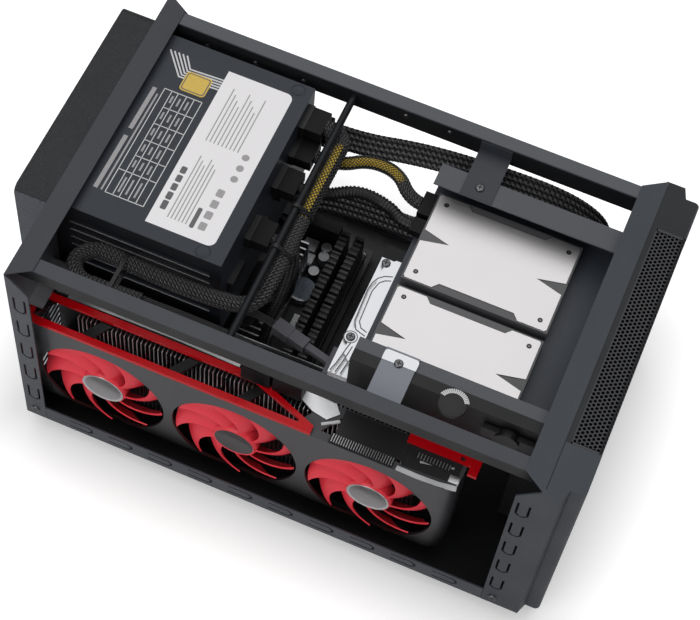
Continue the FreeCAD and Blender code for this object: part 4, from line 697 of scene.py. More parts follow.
def fieldTree():
    tree, given, leave = nodeTree("fieldOfCells", "Columns", "Rows", "Pitch", "Row Step")
    wide = calc(tree, "MULTIPLY", calc(tree, "SUBTRACT", given["Columns"], 1.0), given["Pitch"])
    tall = calc(tree, "MULTIPLY", calc(tree, "SUBTRACT", given["Rows"], 1.0), given["Row Step"])
    links = {"Size X": wide, "Size Y": tall, "Vertices X": given["Columns"], "Vertices Y": given["Rows"]}
    grid = put(tree, "GeometryNodeMeshGrid", links)
    odd = calc(tree, "MODULO", calc(tree, "MODULO", indexValue(tree), given["Rows"]), 2.0)
    half = calc(tree, "MULTIPLY", given["Pitch"], 0.5)
    shift = put(tree, "ShaderNodeCombineXYZ", {"X": calc(tree, "MULTIPLY", odd, half)})
    shifted = put(tree, "GeometryNodeSetPosition", {"Geometry": grid.outputs["Mesh"], "Offset": shift.outputs[0]})
    return closeTree(tree, given, leave, shifted.outputs[0])


trees = {"ring": ringTree(), "row": rowTree(), "points": pointTree(), "field": fieldTree()}


def draftObject(bm, name):
    mesh = bpy.data.meshes.new(name)
    bmesh.ops.recalc_face_normals(bm, faces=bm.faces)
    bm.to_mesh(mesh)
    bm.free()
    draft = bpy.data.objects.new(name, mesh)
    scene.collection.objects.link(draft)
    return draft


# Runs a tree on its carrier and adds its plain mesh to the piece being made
def grow(bm, tree, name, values, carrier=None):
    holder = bpy.data.objects.new(name + "Carrier", carrier or bpy.data.meshes.new(name + "Carrier"))
    modifier = holder.modifiers.new("copies", "NODES")
    modifier.node_group = trees[tree]
    for socket in trees[tree].interface.items_tree:
        if socket.in_out == "INPUT" and socket.name in values:
            modifier[socket.identifier] = values[socket.name]
    mesh = bakedMesh(holder)
    mesh.polygons.foreach_set("material_index", [0] * len(mesh.polygons))
    bpy.data.objects.remove(values["Piece"])
    bm.from_mesh(mesh)
    bpy.data.meshes.remove(mesh)


def growRow(bm, name, draft, count, start, step, finish):
    grow(bm, "row", name, {"Piece": draft, "Count": count, "Start": start, "Step": step, "Finish": finishes[finish]})


# Three card fans: swept blades in a ring, a turned hub and a plain cap
fanStyle = {"blades": 9, "root": 14.0, "tip": 43.4, "rise": 9.0, "back": 101.6, "sweep": 44.0, "bow": 1.35,
            "rootChord": 36.0, "tipChord": 25.0, "camber": 1.3, "thick": 0.9, "rows": 10, "columns": 9, "hub": 16.5,
            "rim": 15.0, "ring": 13.4, "darkRing": 14.2, "darkBody": "gpu_fan_2", "height": 77.2,
            "places": {"gpu_fan_1": 119.65, "gpu_fan_2": 24.05, "gpu_fan_3": -71.65}}


def between(first, last, share):
    return fanStyle[first] + (fanStyle[last] - fanStyle[first]) * share


def fanBlade():
    bm = bmesh.new()
    grid = []
    for i in range(fanStyle["rows"] + 1):
        out = i / fanStyle["rows"]
        radius, chord = between("root", "tip", out), between("rootChord", "tipChord", out)
        middle = -fanStyle["sweep"] * out ** fanStyle["bow"]
        row = []
        for j in range(fanStyle["columns"] + 1):
            across = j / fanStyle["columns"]
            angle = math.radians(middle + chord * (across - 0.5))
            lift = fanStyle["rise"] * (1 - across) + fanStyle["camber"] * math.sin(math.pi * across)
            row.append(bm.verts.new((radius * math.cos(angle), radius * math.sin(angle), lift)))
        grid.append(row)
    addBands(bm, grid, closed=False)
    bmesh.ops.recalc_face_normals(bm, faces=bm.faces)
    bmesh.ops.solidify(bm, geom=bm.faces[:], thickness=fanStyle["thick"])
    return draftObject(bm, "fanBlade")


def addFan(body, y):
    bm = bmesh.new()
    grow(bm, "ring", body, {"Piece": fanBlade(), "Count": fanStyle["blades"], "Finish": finishes["bladeRed"]})
    hub, top, rim = fanStyle["hub"], fanStyle["rise"], fanStyle["rim"]
    dark = body == fanStyle["darkBody"]
    ring = fanStyle["darkRing" if dark else "ring"]
    profile = [(0, 0), (hub, 0), (hub, top - 2.0), (hub - 0.6, top - 0.8), (hub - 1.4, top - 0.2), (rim, top),
               (rim - 0.1, top + 0.25), (ring, top + 0.25), (ring - 0.3, top + 0.05), (0, top + 0.05)]
    addLathe(bm, profile, Matrix.Identity(4), 48, [0, 0, 0, 0, 0, 1, 1, 1, 2])
    place = Matrix(((0, 0, -1, -fanStyle["back"]), (1, 0, 0, y), (0, 1, 0, fanStyle["height"]), (0, 0, 0, 1)))
    bmesh.ops.transform(bm, matrix=place, verts=bm.verts)
    skins = ("bladeRed", "bladeRed", "capDark") if dark else ("bladeRed", "capRing", "capGrey")
    keepPiece(bm, body + "Rotor", skins, body, (body,), 40.0)


for fanBody, fanY in fanStyle["places"].items():
    addFan(fanBody, fanY)
print("card fans made")


# Front mesh: a field of six-sided cells bent over the top edge, with a plain hem
meshStyle = {"pitch": 2.9, "hole": 0.72, "bend": 2.4, "hem": 1.6, "thick": 1.0, "proud": 0.1, "steps": 240,
             "weld": 0.02, "backHem": 0.4}


def meshCell(outer, thick):
    bm = bmesh.new()
    inner = outer * meshStyle["hole"]
    rings = []
    for radius, height in ((outer, thick / 2), (inner, thick / 2), (inner, -thick / 2), (outer, -thick / 2)):
        rings.append([bm.verts.new((across, along, height)) for along, across in circleOutline(radius, 6)])
    addBands(bm, rings)
    return draftObject(bm, "meshCell")


def addMesh():
    low, high = boxOf("mesh_panel")
    pitch, radius, thick, hem, proud = (meshStyle[key] for key in ("pitch", "bend", "thick", "hem", "proud"))
    middleY = low[1] + thick / 2 + proud
    turnAt = high[2] - thick / 2 - radius - low[2]
    arc = radius * math.pi / 2
    tall = turnAt + arc + (high[1] - middleY - radius)
    rowStep = pitch * math.sqrt(3) / 2
    columns = int((high[0] - low[0]) / pitch) - 1
    outer = pitch / math.sqrt(3)
    rows = int((tall - 2 * outer) / rowStep) + 1
    field = (rows - 1) * rowStep + 2 * outer

    # Flat place (across, along, outward) carried over the bend
    def bent(x, along, out):
        if along < turnAt:
            return Vector((x, middleY - out, low[2] + along))
        turn = min((along - turnAt) / radius, math.pi / 2)
        past = max(along - turnAt - arc, 0.0)
        reach = radius + out
        return Vector((x, middleY + radius - reach * math.cos(turn) + past, low[2] + turnAt + reach * math.sin(turn)))

    bm = bmesh.new()
    grow(bm, "field", "frontMesh", {"Piece": meshCell(outer, thick), "Columns": columns, "Rows": rows, "Pitch": pitch,
                                    "Row Step": rowStep, "Finish": finishes["meshCoat"]})
    bmesh.ops.remove_doubles(bm, verts=bm.verts, dist=meshStyle["weld"])
    bmesh.ops.bridge_loops(bm, edges=[edge for edge in bm.edges if edge.is_boundary])
    centre = (low[0] + high[0]) / 2 - pitch / 4
    for vert in bm.verts:
        x, along, out = vert.co
        vert.co = bent(x + centre, along + tall - field / 2, out)
    strip = [bent(0.0, tall * k / meshStyle["steps"], 0.0) for k in range(meshStyle["steps"] + 1)]
    half, side = thick / 2 + proud, hem / 2
    for x in (low[0] + side, high[0] - side):
        line = [Vector((x, point.y, point.z)) for point in strip]
        addSweep(bm, framesAlong(line), lambda travel: [(-side, -half), (side, -half), (side, half), (-side, half)])
    for along in (side, tall - meshStyle["backHem"]):
        reach = min(side, tall - along)
        ends = list(zip(bent(low[0], along - reach, -half), bent(high[0], along + reach, half)))
        addBlock(bm, [min(end) for end in ends], [max(end) for end in ends])
    keepPiece(bm, "frontMesh", ("meshCoat",), stands=("mesh_panel",), crease=30.0)


addMesh()
print("front mesh made")


# Flat print on the power supply: plain sticker, ruled table, gold badge and stripes
printStyle = {
    "level": 195.7, "sunk": 0.05, "paper": 0.18, "ink": 0.24, "line": 0.55,
    "sticker": (-45.5, 82.5, 69.5, 116.5, (0, 0, 5, 5)),
    "boldBars": {"x": [(-33, -26), (-25, -19), (-17.5, -12), (-10.5, -5), (-3.5, 2)], "y": (108.6, 112.6)},
    "textLines": [{"count": 6, "x": (-37, 14), "shorter": 3, "cycle": 3, "y": 104.6, "step": 2.5},
                  {"count": 9, "x": (26, 71), "shorter": 4, "cycle": 4, "y": 107.0, "step": 2.8}],
    "textHigh": 0.8, "boldLine": (-38, -22, 87.0, 90.0),
    "marks": [{"count": 4, "x": (-37, -31), "y": (79.5, 84.5), "corner": 1},
              {"count": 3, "x": (4, 9), "y": (76.0, 81.0), "corner": 2.4}],
    "markStep": 9,
    "tableRows": (122.0, 127.4, 132.9, 138.9, 143.4, 148.7), "tableSides": (-36.5, 52.0), "firstColumn": -17.0,
    "columns": (-3.5, 10.0, 24.0, 38.0), "entryRows": (130.1, 135.9, 141.1), "entries": (-10.2, 3.2, 17.0, 31.0, 45.0),
    "entryHalf": 3.5, "entryShorter": 0.6, "entryHigh": 1.3, "rowNames": (-33, -21),
    "headings": [([(-36, 155.9), (8, 155.4)], 3.0), ([(14, 155.3), (50, 154.8)], 3.0),
                 ([(-36, 151.6), (46, 151.2)], 1.2)],
    "stripes": {"count": 5, "wide": 1.05, "apart": 2.1, "start": (82.2, 146.6, 3.05),
                "turn": (72.9, 140.2, 1.1), "end": (74.2, 116.5)},
    "badge": [(55.4, 71.4, 122.6, 140.8, 2.6), (56.3, 70.5, 123.5, 139.9, 2.0), (57.0, 69.8, 124.2, 139.2, 1.6)],
    "badgeStep": 0.05,
}


def addStrip(bm, points, width, low, high, paint=0):
    line = [Vector((x, y, 0)) for x, y in points]
    left, right = [], []
    for k, spot in enumerate(line):
        before = (spot - line[k - 1]).normalized() if k else (line[1] - spot).normalized()
        after = (line[k + 1] - spot).normalized() if k + 1 < len(line) else before
        along = (before + after).normalized()
        side = Vector((-along.y, along.x, 0)) * (width / 2 / max(along.dot(before), 0.3))
        left.append((spot + side)[:2])
        right.append((spot - side)[:2])
    addPlate(bm, left + right[::-1], low, high, paint)


# Rectangle with one corner radius, or one for each corner
def roundedRectangle(x0, x1, y0, y1, corners):
    corners = corners if isinstance(corners, tuple) else (corners,) * 4
    outline = []
    for number, (x, y) in enumerate(((x1, y1), (x0, y1), (x0, y0), (x1, y0))):
        radius = corners[number]
        inX = x - radius if x == x1 else x + radius
        inY = y - radius if y == y1 else y + radius
        steps = 6 if radius else 0
        for k in range(steps + 1):
            angle = math.radians(90 * number + (90 * k / steps if steps else 0))
            outline.append((inX + radius * math.cos(angle), inY + radius * math.sin(angle)))
    return outline


def addSticker(base, paper, ink):
    bm = bmesh.new()

    def mark(x0, x1, y0, y1, corner, paint):
        addPlate(bm, roundedRectangle(x0, x1, y0, y1, corner), base, ink, paint)

    addPlate(bm, roundedRectangle(*printStyle["sticker"]), base, paper, 0)
    for x in printStyle["boldBars"]["x"]:
        mark(*x, *printStyle["boldBars"]["y"], 1, 2)
    for text in printStyle["textLines"]:
        for k in range(text["count"]):
            end = text["x"][1] - text["shorter"] * (k % text["cycle"])
            foot, head = text["y"] - text["step"] * k, text["y"] + printStyle["textHigh"] - text["step"] * k
            mark(text["x"][0], end, foot, head, 0, 1)
    mark(*printStyle["boldLine"], 1, 2)
    for row in printStyle["marks"]:
        for k in range(row["count"]):
            shift = printStyle["markStep"] * k
            mark(row["x"][0] + shift, row["x"][1] + shift, *row["y"], row["corner"], 1)
    keepPiece(bm, "supplySticker", ("stickerPaper", "stickerInk", "stickerBold"))


def addTable(base, paper):
    bm = bmesh.new()
    left, right = printStyle["tableSides"]
    rows = printStyle["tableRows"]
    front, inner, back = rows[0], rows[-2], rows[-1]
    lines = [[(left, y), (right, y)] for y in rows]
    tall = [(left, back), (printStyle["firstColumn"], back)]
    tall += [(x, inner) for x in printStyle["columns"]] + [(right, back)]
    for line in lines + [[(x, front), (x, end)] for x, end in tall]:
        addStrip(bm, line, printStyle["line"], base, paper)
    half, high = printStyle["entryHalf"], printStyle["entryHigh"]
    for k, y in enumerate(printStyle["entryRows"]):
        for x in printStyle["entries"]:
            addStrip(bm, [(x - half + k * printStyle["entryShorter"], y), (x + half, y)], high, base, paper, 1)
        addStrip(bm, [(x, y) for x in printStyle["rowNames"]], high, base, paper, 1)
    for line, wide in printStyle["headings"]:
        addStrip(bm, line, wide, base, paper, 1)
    stripes = printStyle["stripes"]
    (startX, startY, startStep), (turnX, turnY, turnStep) = stripes["start"], stripes["turn"]
    endX, endY = stripes["end"]
    for k in range(stripes["count"]):
        shift = stripes["apart"] * k
        line = [(startX, startY + startStep * k), (turnX - shift, turnY + turnStep * k), (endX - shift, endY)]
        addStrip(bm, line, stripes["wide"], base, paper)
    keepPiece(bm, "supplyLines", ("printWhite", "stickerInk"))


def addPrint():
    level = printStyle["level"]
    base, paper, ink = level - printStyle["sunk"], level + printStyle["paper"], level + printStyle["ink"]
    addSticker(base, paper, ink)
    addTable(base, paper)
    bm = bmesh.new()
    for k, field in enumerate(printStyle["badge"]):
        addPlate(bm, roundedRectangle(*field), base, ink + printStyle["badgeStep"] * k, k % 2)
    keepPiece(bm, "supplyBadge", ("badgeGold", "stickerBold"))


addPrint()


# Brushed tops of the flat drives, with corner screws and cut edges
driveStyle = {"places": (32.8, -42.8), "middle": -92.25, "halfWide": 33.9, "halfLong": 49.0, "notch": 29.0,
              "notchIn": 25.6, "depth": 4.4, "corner": 1.2, "wedge": 20.0, "wedgeHalf": 4.4, "wedgeLean": 0.4,
              "hole": 1.7, "inset": 6.4, "edge": 0.22}


def addDriveTops():
    low, high = boxOf("ssd_plates")
    bm, holes = bmesh.new(), bmesh.new()
    keys = ("halfWide", "halfLong", "notch", "notchIn", "depth", "corner", "wedge", "wedgeHalf", "wedgeLean", "hole")
    w, l, n, m, d, c, tip, half, lean, hole = (driveStyle[key] for key in keys)
    # One half of the outline; the other is the same, turned half round
    outline = [(-w + c, -l), (-half, -l), (lean, -l + tip), (half, -l), (w - c, -l), (w, -l + c), (w, -n),
               (w - d, -m), (w - d, m), (w, n), (w, l - c)]
    outline += [(-u, -v) for u, v in outline]
    # Each corner screw sits in a near-black ring, painted shade of its hole
    profile = [(0, -0.3), (hole, -0.3), (hole, 0.06), (hole * 0.8, 0.06), (0.9, 0.02), (0, 0.02)]
    y = driveStyle["middle"]
    for x in driveStyle["places"]:
        addPlate(bm, [(x + u, y + v) for u, v in outline], low[2], high[2])
        for u in (-1, 1):
            for v in (-1, 1):
                spot = (x + u * (w - driveStyle["inset"]), y + v * (l - driveStyle["inset"]), high[2])
                addLathe(holes, profile, Matrix.Translation(spot), 20, [0, 0, 0, 0, 1])
    edges = [edge for edge in bm.edges if all(abs(vert.co.z - high[2]) < 0.01 for vert in edge.verts)]
    bmesh.ops.bevel(bm, geom=edges, offset=driveStyle["edge"], segments=1, profile=0.5, affect="EDGES")
    keepPiece(bm, "driveTops", ("drivePlate",), stands=("ssd_plates",), crease=20.0)
    keepPiece(holes, "driveTopScrews", ("recessDark", "darkScrew"))


addDriveTops()
print("print and drive tops made")


# Cross-head screws on every place that the source gives one, and two on the hard drive
screwStyle = {"radius": 3.0, "height": 1.45, "slot": 0.7, "reach": 1.7, "sunk": 0.3, "proud": 0.04}
screwPlaces = [((side * 120.0, y, 24.0), (side, 0, 0)) for side in (-1, 1) for y in (-170.25, 168.75)]
screwPlaces += [((side * 70.5, -66.75, 191.0), (0, 0, 1)) for side in (-1, 1)]
screwPlaces += [((x, 200.25, z), (0, 1, 0)) for x in (-53.2, 91.2) for z in (121.7, 183.7)]
screwPlaces += [((x, y, 23.1), (0, 0, 1)) for x in (-67.6, 89.6) for y in (10.35, 167.55)]
screwPlaces += [((-50.6, -28.5, 163.0), (0, 0, 1)), ((8.9, -28.6, 163.0), (0, 0, 1))]


def screwHead():
    bm = bmesh.new()
    r, h = screwStyle["radius"], screwStyle["height"]
    profile = [(0, 0), (r, 0), (r, h * 0.45), (r * 0.93, h * 0.72), (r * 0.78, h * 0.92), (r * 0.6, h), (0, h)]
    addLathe(bm, profile, Matrix.Identity(4), 20)
    return draftObject(bm, "screwHead")


# The cross is a thin raised plate in the near-black recess finish, painted shade where the recess would be
def screwCross():
    bm = bmesh.new()
    a, b, h = screwStyle["slot"] / 2, screwStyle["reach"], screwStyle["height"]
    outline = [(a, a), (a, b), (-a, b), (-a, a), (-b, a), (-b, -a)]
    addPlate(bm, outline + [(-x, -y) for x, y in outline], h - screwStyle["sunk"], h + screwStyle["proud"])
    return draftObject(bm, "screwCross")


def pointCarrier(name, places):
    mesh = bpy.data.meshes.new(name)
    mesh.from_pydata([place for place, axis in places], [], [])
    facing = mesh.attributes.new("facing", "FLOAT_VECTOR", "POINT")
    for k, (place, axis) in enumerate(places):
        facing.data[k].vector = axis
    return mesh


def addScrews():
    bm = bmesh.new()
    for number, (draft, finish) in enumerate(((screwHead(), "darkScrew"), (screwCross(), "recessDark"))):
        first = len(bm.faces)
        spots = pointCarrier("screwSpots", screwPlaces)
        grow(bm, "points", "caseScrews", {"Piece": draft, "Finish": finishes[finish]}, spots)
        bm.faces.ensure_lookup_table()
        for face in bm.faces[first:]:
            face.material_index = number
    keepPiece(bm, "caseScrewHeads", ("darkScrew", "recessDark"), stands=("case_screws",))


addScrews()
print("screws set")


# Small raised and drawn details that the photograph shows
details = {
    "railStuds": {"x": 100.5, "places": [(140.2, 188.3), (105.3, 189.7), (70.3, 190.4), (-2.8, 194.5), (-33.7, 194.5)],
                  "profile": [(0, -0.3), (2.0, -0.3), (2.0, 0.5), (1.5, 1.0), (0, 1.0)]},
    "railFlange": {"thick": 1.0, "drop": 5.0, "gap": 0.05, "short": 0.5, "lap": 0.1},
    "supplyRibs": {"y": (67.0, 165.0), "first": 178.5, "step": 9.0, "count": 6, "high": 0.6, "out": 0.15, "in": 0.3},
    "supplyDimples": {"places": [(87.5, 68.7), (-50.9, 73.9)],
                      "profile": [(0, -0.2), (5.2, -0.2), (5.2, 0.04), (4.3, 0.4), (3.4, 0.06), (0, 0.06)]},
    "bezelSeam": {"half": 117.0, "y": -178.4, "wide": 0.7, "sunk": 0.2, "proud": 0.08},
    "pad": {"x": (-71.4, -63.6), "y": (-78.3, -55.6), "z": (190.9, 191.5), "corners": (2.4, 0.6, 0.6, 2.4)},
    "lipFill": {"centre": (-62.0, -106.75), "radius": 8.96, "z": (189.02, 189.98), "steps": 24},
    "wheel": {"centre": (-82.5, -107.0), "foot": 190.0, "radius": 10.0, "ribs": 17, "spread": 64.0, "ribIn": 1.4,
              "rib": (1.5, 0.45), "rise": (0.2, 2.4), "rim": 0.8},
    "lid": {"wide": 0.75, "half": 0.1, "ring": (-50.6, -28.5),
            "profile": [(0, -0.1), (4.6, -0.1), (4.6, 0.1), (4.0, 0.1), (4.0, 0.02), (0, 0.02)],
            "lines": [[(1.3, -36.5), (-0.5, -31.5), (-3.7, -28), (-8, -26), (-13.8, -25.2), (-38.4, -26.3),
                       (-44.4, -29.5), (-46.5, -36.5)],
                      [(-2, -36.5), (-3.5, -33), (-6.5, -30), (-14, -28.2), (-38, -29.3), (-42, -32), (-43.5, -36.5)],
                      [(-54.5, -30.2), (-59.7, -29.2), (-65.9, -28.3), (-72, -27.2), (-77.6, -25.6)],
                      [(-56.5, -32.2), (-62, -31.6), (-68, -30.8), (-77.6, -29.1)],
                      [(-60, -36.5), (-64, -35), (-68.6, -33.8), (-77.6, -32.6)]]},
    "silverRail": {"line": [(-84.6, 154.3), (-83.9, 118.0), (-83.4, 80.0), (-84.6, 32.3)], "wide": 2.2,
                   "rise": (-1.0, 1.2)},
    "barePlate": {"line": [(-84.8, -3.6), (-82.6, -11.5), (-83.9, -34.9), (-89.8, -39.7), (-96.8, -33.2),
                           (-94.8, -22.8)], "rise": (-0.5, 1.0)},
    "endStrip": {"line": [(-109.2, -86.0), (-109.4, -100.0), (-109.0, -114.0), (-107.2, -126.0)], "wide": 3.2,
                 "rise": (-0.5, 0.8)},
    "endLine": {"line": [(-99.4, -98.3), (-94.8, -119.9)], "wide": 1.4, "rise": (-0.5, 0.6)},
    "endBlock": {"x": (-105.0, -99.5), "y": (-126.2, -119.0), "rise": (-0.5, 1.6)},
    "paleStrip": {"line": [(-100.9, -31.4), (-94.3, -41.6)], "wide": 1.8, "rise": (-0.5, 1.1)},
    "endStud": {"place": (-88.2, 158.1), "profile": [(0, -0.5), (1.9, -0.5), (1.9, 1.9), (1.4, 2.3), (0, 2.3)]},
    "cardCovers": {"rise": (-0.6, 0.5),
                   "lines": [[(-103.4, -42.0), (-85.0, -42.0), (-85.0, -88.0), (-103.4, -88.0)],
                             [(-106.0, -88.2), (-86.5, -88.2), (-86.5, -124.0), (-104.5, -124.0)]]},
    "teeth": [{"x": (-110.4, -103.4), "y": (-83.5, -40.0), "pitch": 1.7},
              {"x": (-98.4, -93.2), "y": (-118.0, -93.0), "pitch": 2.1}],
    "tooth": {"short": 0.6, "thick": 0.6, "high": 1.1, "first": 0.8, "foot": 0.5, "rise": (-0.5, 0.7)},
    "memoryRibs": {"rows": (11.25, 22.25), "first": -49.5, "step": 4.3, "count": 31, "half": 1.0, "thick": 3.4,
                   "tall": 24.0, "proud": 0.9, "soften": 0.3},
}


def addRailDetails():
    bm = bmesh.new()
    studs = details["railStuds"]
    for y, z in studs["places"]:
        addLathe(bm, studs["profile"], axisPlace((studs["x"], y, z), (-1, 0, 0)), 20)
    keepPiece(bm, "railStuds", ("darkScrew",))
    # The flange under the far rail takes the rail finish's painted shade and shows near-black
    bm = bmesh.new()
    low, high = boxOf("right_top_rail")
    flange = details["railFlange"]
    foot = (low[0] + flange["gap"], low[1] + flange["short"], low[2] - flange["drop"])
    addBlock(bm, foot, (low[0] + flange["thick"], high[1] - flange["short"], low[2] + flange["lap"]))
    keepPiece(bm, "railFlange", ("railCoat",))


# The light grey lines along the supply's near side, in the sticker ink finish, are painted highlights on its grooves
def addSupplyDetails():
    bm = bmesh.new()
    ribs = details["supplyRibs"]
    side = boxOf("psu_cover")[0][0]
    for k in range(ribs["count"]):
        level = ribs["first"] - k * ribs["step"]
        addBlock(bm, (side - ribs["out"], ribs["y"][0], level - ribs["high"]), (side + ribs["in"], ribs["y"][1], level))
    keepPiece(bm, "supplyRibs", ("stickerInk",))
    bm = bmesh.new()
    for spot in details["supplyDimples"]["places"]:
        addLathe(bm, details["supplyDimples"]["profile"], Matrix.Translation((*spot, printStyle["level"])), 32)
    keepPiece(bm, "supplyDimples", ("supplyCoat",))


def addFrontDetails():
    bm = bmesh.new()
    seam = details["bezelSeam"]
    level = boxOf("front_panel")[1][2]
    ends = [(side * seam["half"], seam["y"]) for side in (-1, 1)]
    addStrip(bm, ends, seam["wide"], level - seam["sunk"], level + seam["proud"])
    keepPiece(bm, "bezelSeam", ("recessDark",))


def addCageDetails():
    bm = bmesh.new()
    pad = details["pad"]
    addPlate(bm, roundedRectangle(*pad["x"], *pad["y"], pad["corners"]), *pad["z"])
    keepPiece(bm, "bracketPad", ("driveAlloy",))
    bm = bmesh.new()
    fill = details["lipFill"]
    x, y = fill["centre"]
    arc = [math.radians(90 + 180 * k / fill["steps"]) for k in range(fill["steps"] + 1)]
    addPlate(bm, [(x + fill["radius"] * math.cos(a), y + fill["radius"] * math.sin(a)) for a in arc], *fill["z"])
    keepPiece(bm, "cageLipFill", ("cageCoat",))
    bm = bmesh.new()
    wheel = details["wheel"]
    middle = Vector((*wheel["centre"], wheel["foot"]))
    edge, (half, thin), (foot, head) = wheel["radius"] - wheel["rim"], wheel["rib"], wheel["rise"]
    profile = [(0, 0.1), (edge, 0.1), (edge, 1.8), (edge - wheel["rim"], 2.2), (0, 2.2)]
    addLathe(bm, profile, Matrix.Translation(middle), 48)
    for k in range(wheel["ribs"]):
        turn = Matrix.Rotation(math.radians(wheel["spread"] * (2 * k / (wheel["ribs"] - 1) - 1)), 4, "Z")
        spot = middle + turn @ Vector((wheel["radius"] - wheel["ribIn"], 0, 0))
        addBlock(bm, spot + Vector((-half, -thin, foot)), spot + Vector((half, thin, head)), 1, turn=turn)
    keepPiece(bm, "cageThumbwheel", ("blackPlastic", "printWhite"))


# Dark strips along the grooves pressed in the hard drive's lid and a dark ring round its screw: painted shade in the
# grooves and recess
def addDriveLid():
    top = boxOf("hard_drive")[1][2]
    lid = details["lid"]
    bm = bmesh.new()
    for line in lid["lines"]:
        addStrip(bm, line, lid["wide"], top - lid["half"], top + lid["half"])
    addLathe(bm, lid["profile"], Matrix.Translation((*lid["ring"], top)), 32, [0, 0, 0, 0, 1])
    keepPiece(bm, "driveLidLines", ("stickerBold", "driveAlloy"))


def addCardDetails():
    top = boxOf("gpu_shroud")[1][2]
    bm = bmesh.new()

    def levels(trim):
        return [top + rise for rise in trim["rise"]]

    def strip(name, paint=0):
        trim = details[name]
        addStrip(bm, trim["line"], trim["wide"], *levels(trim), paint)

    strip("silverRail")
    addPlate(bm, details["barePlate"]["line"], *levels(details["barePlate"]))
    strip("endStrip")
    strip("endLine")
    block = details["endBlock"]
    addBlock(bm, *zip(block["x"], block["y"], levels(block)), 0, 0.5)
    strip("paleStrip", 1)
    stud = details["endStud"]
    addLathe(bm, stud["profile"], Matrix.Translation((*stud["place"], top)), 20)
    keepPiece(bm, "cardTrims", ("trimSilver", "printWhite"))
    bm = bmesh.new()
    for outline in details["cardCovers"]["lines"]:
        addPlate(bm, outline, *levels(details["cardCovers"]))
    keepPiece(bm, "cardCovers", ("blackPlastic",))
    bm = bmesh.new()
    tooth = details["tooth"]
    for row in details["teeth"]:
        (left, right), (front, back) = row["x"], row["y"]
        draft = bmesh.new()
        addBlock(draft, (left + tooth["short"], 0, 0), (right - tooth["short"], tooth["thick"], tooth["high"]))
        growRow(bm, "cardTeeth", draftObject(draft, "cardTooth"), int((back - front) / row["pitch"]),
                (0, front + tooth["first"], top + tooth["foot"]), (0, row["pitch"], 0), "capGrey")
        addBlock(bm, *zip(row["x"], row["y"], levels(tooth)), 1)
    keepPiece(bm, "cardTeeth", ("capGrey", "recessDark"))


# Thin fins of the card's cooler in one row
finStyle = {"pitch": 3.0, "thick": 0.55, "base": 3.0}


def addFins():
    low, high = boxOf("gpu_heatsink")
    bm = bmesh.new()
    addBlock(bm, (low[0], 0, low[2]), (high[0] - finStyle["base"] / 2, finStyle["thick"], high[2]))
    count = int((high[1] - low[1] - finStyle["thick"]) / finStyle["pitch"]) + 1
    fin = draftObject(bm, "cardFin")
    bm = bmesh.new()
    growRow(bm, "cardFins", fin, count, (0, low[1], 0), (0, finStyle["pitch"], 0), "finAlloy")
    addBlock(bm, (high[0] - finStyle["base"], low[1], low[2]), high)
    keepPiece(bm, "cardFins", ("finAlloy",), stands=("gpu_heatsink",))


def addMemoryRibs():
    style = details["memoryRibs"]
    top = boxOf("memory_modules")[1][2]
    half, thick = style["half"], style["thick"]
    bm = bmesh.new()
    for y in style["rows"]:
        rib = bmesh.new()
        foot, head = (-half, y - thick, top - style["tall"]), (half, y + thick, top + style["proud"])
        addBlock(rib, foot, head, 0, style["soften"])
        growRow(bm, "memoryRibs", draftObject(rib, "memoryRib"), style["count"], (style["first"], 0, 0),
                (style["step"], 0, 0), "capDark")
    keepPiece(bm, "memoryRibs", ("capDark",))


addRailDetails()
addSupplyDetails()
addFrontDetails()
addCageDetails()
addDriveLid()
addCardDetails()
addFins()
addMemoryRibs()
print("details added")


# Photograph's camera: focal length in pixels of a frame 700 wide
view = {"focal": 1945.7, "width": 700.0, "sensor": 36.0, "place": (-0.619486, -0.188042, 1.242185),
        "right": (0.38410589, -0.9209305, 0.0659521), "down": (-0.79278826, -0.36558496, -0.48768269),
        "ahead": (0.47323296, 0.13503574, -0.87052623)}


def addCamera():
    lens = bpy.data.cameras.new("photoCamera")
    lens.sensor_width = view["sensor"]
    lens.lens = view["focal"] * view["sensor"] / view["width"]
    camera = bpy.data.objects.new("photoCamera", lens)
    right, down, ahead = (Vector(view[key]) for key in ("right", "down", "ahead"))
    turn = Matrix((right, -down, -ahead)).transposed()
    camera.matrix_world = Matrix.Translation(view["place"]) @ turn.to_4x4()
    scene.collection.objects.link(camera)
    scene.camera = camera


lights = {"top": {"place": (0.4, 0.15, 1.6), "size": 2.4, "power": 22.0},
          "near": {"place": (-1.2, 0.35, 0.85), "size": 1.0, "power": 8.0},
          "front": {"place": (-0.3, -1.5, 0.9), "size": 1.2, "power": 2.0}}
lightsAim = (0, 0, 0.1)
ambient = 0.12
white = (1, 1, 1, 1)


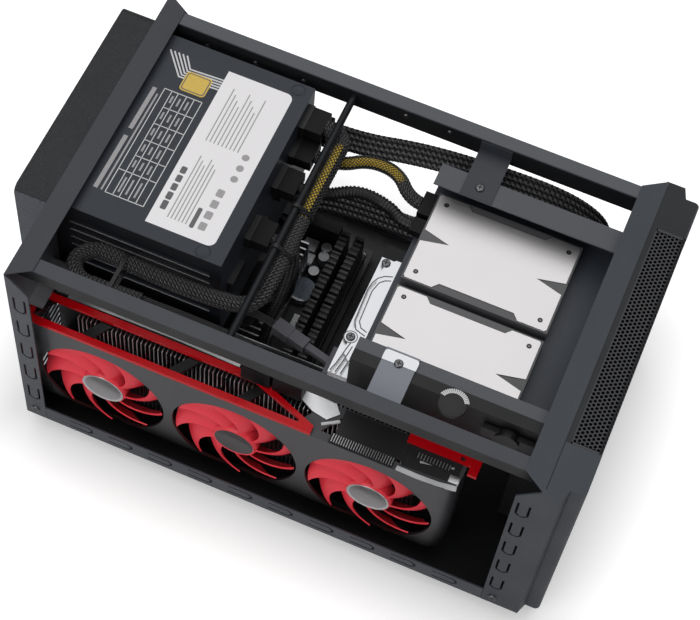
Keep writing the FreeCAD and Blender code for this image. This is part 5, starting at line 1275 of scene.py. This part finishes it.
def addLights():
    for name, lamp in lights.items():
        data = bpy.data.lights.new(name + "Softbox", "AREA")
        data.size = lamp["size"]
        data.energy = lamp["power"]
        box = bpy.data.objects.new(name + "Softbox", data)
        box.location = lamp["place"]
        box.rotation_euler = (Vector(lightsAim) - Vector(lamp["place"])).to_track_quat("-Z", "Y").to_euler()
        scene.collection.objects.link(box)
    world = bpy.data.worlds.new("studio")
    world.use_nodes = True
    tree = world.node_tree
    soft = tree.nodes["Background"]
    soft.inputs["Color"].default_value = white
    soft.inputs["Strength"].default_value = ambient
    seen = put(tree, "ShaderNodeBackground", {"Color": white, "Strength": 1.0})
    path = put(tree, "ShaderNodeLightPath")
    either = calc(tree, "MAXIMUM", path.outputs["Is Camera Ray"], path.outputs["Is Transmission Ray"])
    mix = put(tree, "ShaderNodeMixShader", {0: either, 1: soft.outputs[0], 2: seen.outputs[0]})
    tree.links.new(mix.outputs[0], tree.nodes["World Output"].inputs["Surface"])
    scene.world = world


floorStyle = {"half": 3.0, "footprint": (0.12, 0.19), "fade": 0.06, "beside": 0.3, "far": 0.68, "edge": (0.4, 1.4),
              "tone": 0.8, "rough": 0.9}


def addFloor():
    half = floorStyle["half"]
    mesh = bpy.data.meshes.new("floor")
    mesh.from_pydata([(-half, -half, 0), (half, -half, 0), (half, half, 0), (-half, half, 0)], [], [(0, 1, 2, 3)])
    floor = bpy.data.objects.new("floor", mesh)
    scene.collection.objects.link(floor)
    material, tree, skin = newMaterial("paleFloor")
    skin.inputs["Base Color"].default_value = shade(floorStyle["tone"])
    skin.inputs["Roughness"].default_value = floorStyle["rough"]
    skin.inputs["Specular IOR Level"].default_value = 0.0
    past = vectorCalc(tree, "SUBTRACT", vectorCalc(tree, "ABSOLUTE", ownSpace(tree)), (*floorStyle["footprint"], 0))
    outside = vectorCalc(tree, "MAXIMUM", past)
    away = put(tree, "ShaderNodeVectorMath", {0: outside}, operation="LENGTH").outputs["Value"]
    # The floor glows less next to the case and more further out; the lowered glow round the footprint is a painted
    # shadow
    lift = remap(tree, away, 0.0, floorStyle["fade"], floorStyle["beside"], floorStyle["far"])
    rest = remap(tree, away, *floorStyle["edge"], 0.0, 1.0 - floorStyle["far"])
    seen = put(tree, "ShaderNodeLightPath").outputs["Is Camera Ray"]
    strength = calc(tree, "MULTIPLY", seen, calc(tree, "ADD", lift, rest))
    glow = put(tree, "ShaderNodeEmission", {"Color": white, "Strength": strength})
    both = put(tree, "ShaderNodeAddShader", {0: skin.outputs[0], 1: glow.outputs[0]})
    tree.links.new(both.outputs[0], tree.nodes["Material Output"].inputs["Surface"])
    mesh.materials.append(material)


addCamera()
addLights()
addFloor()
scene.view_settings.view_transform = "Standard"
print("camera, lights and floor set")
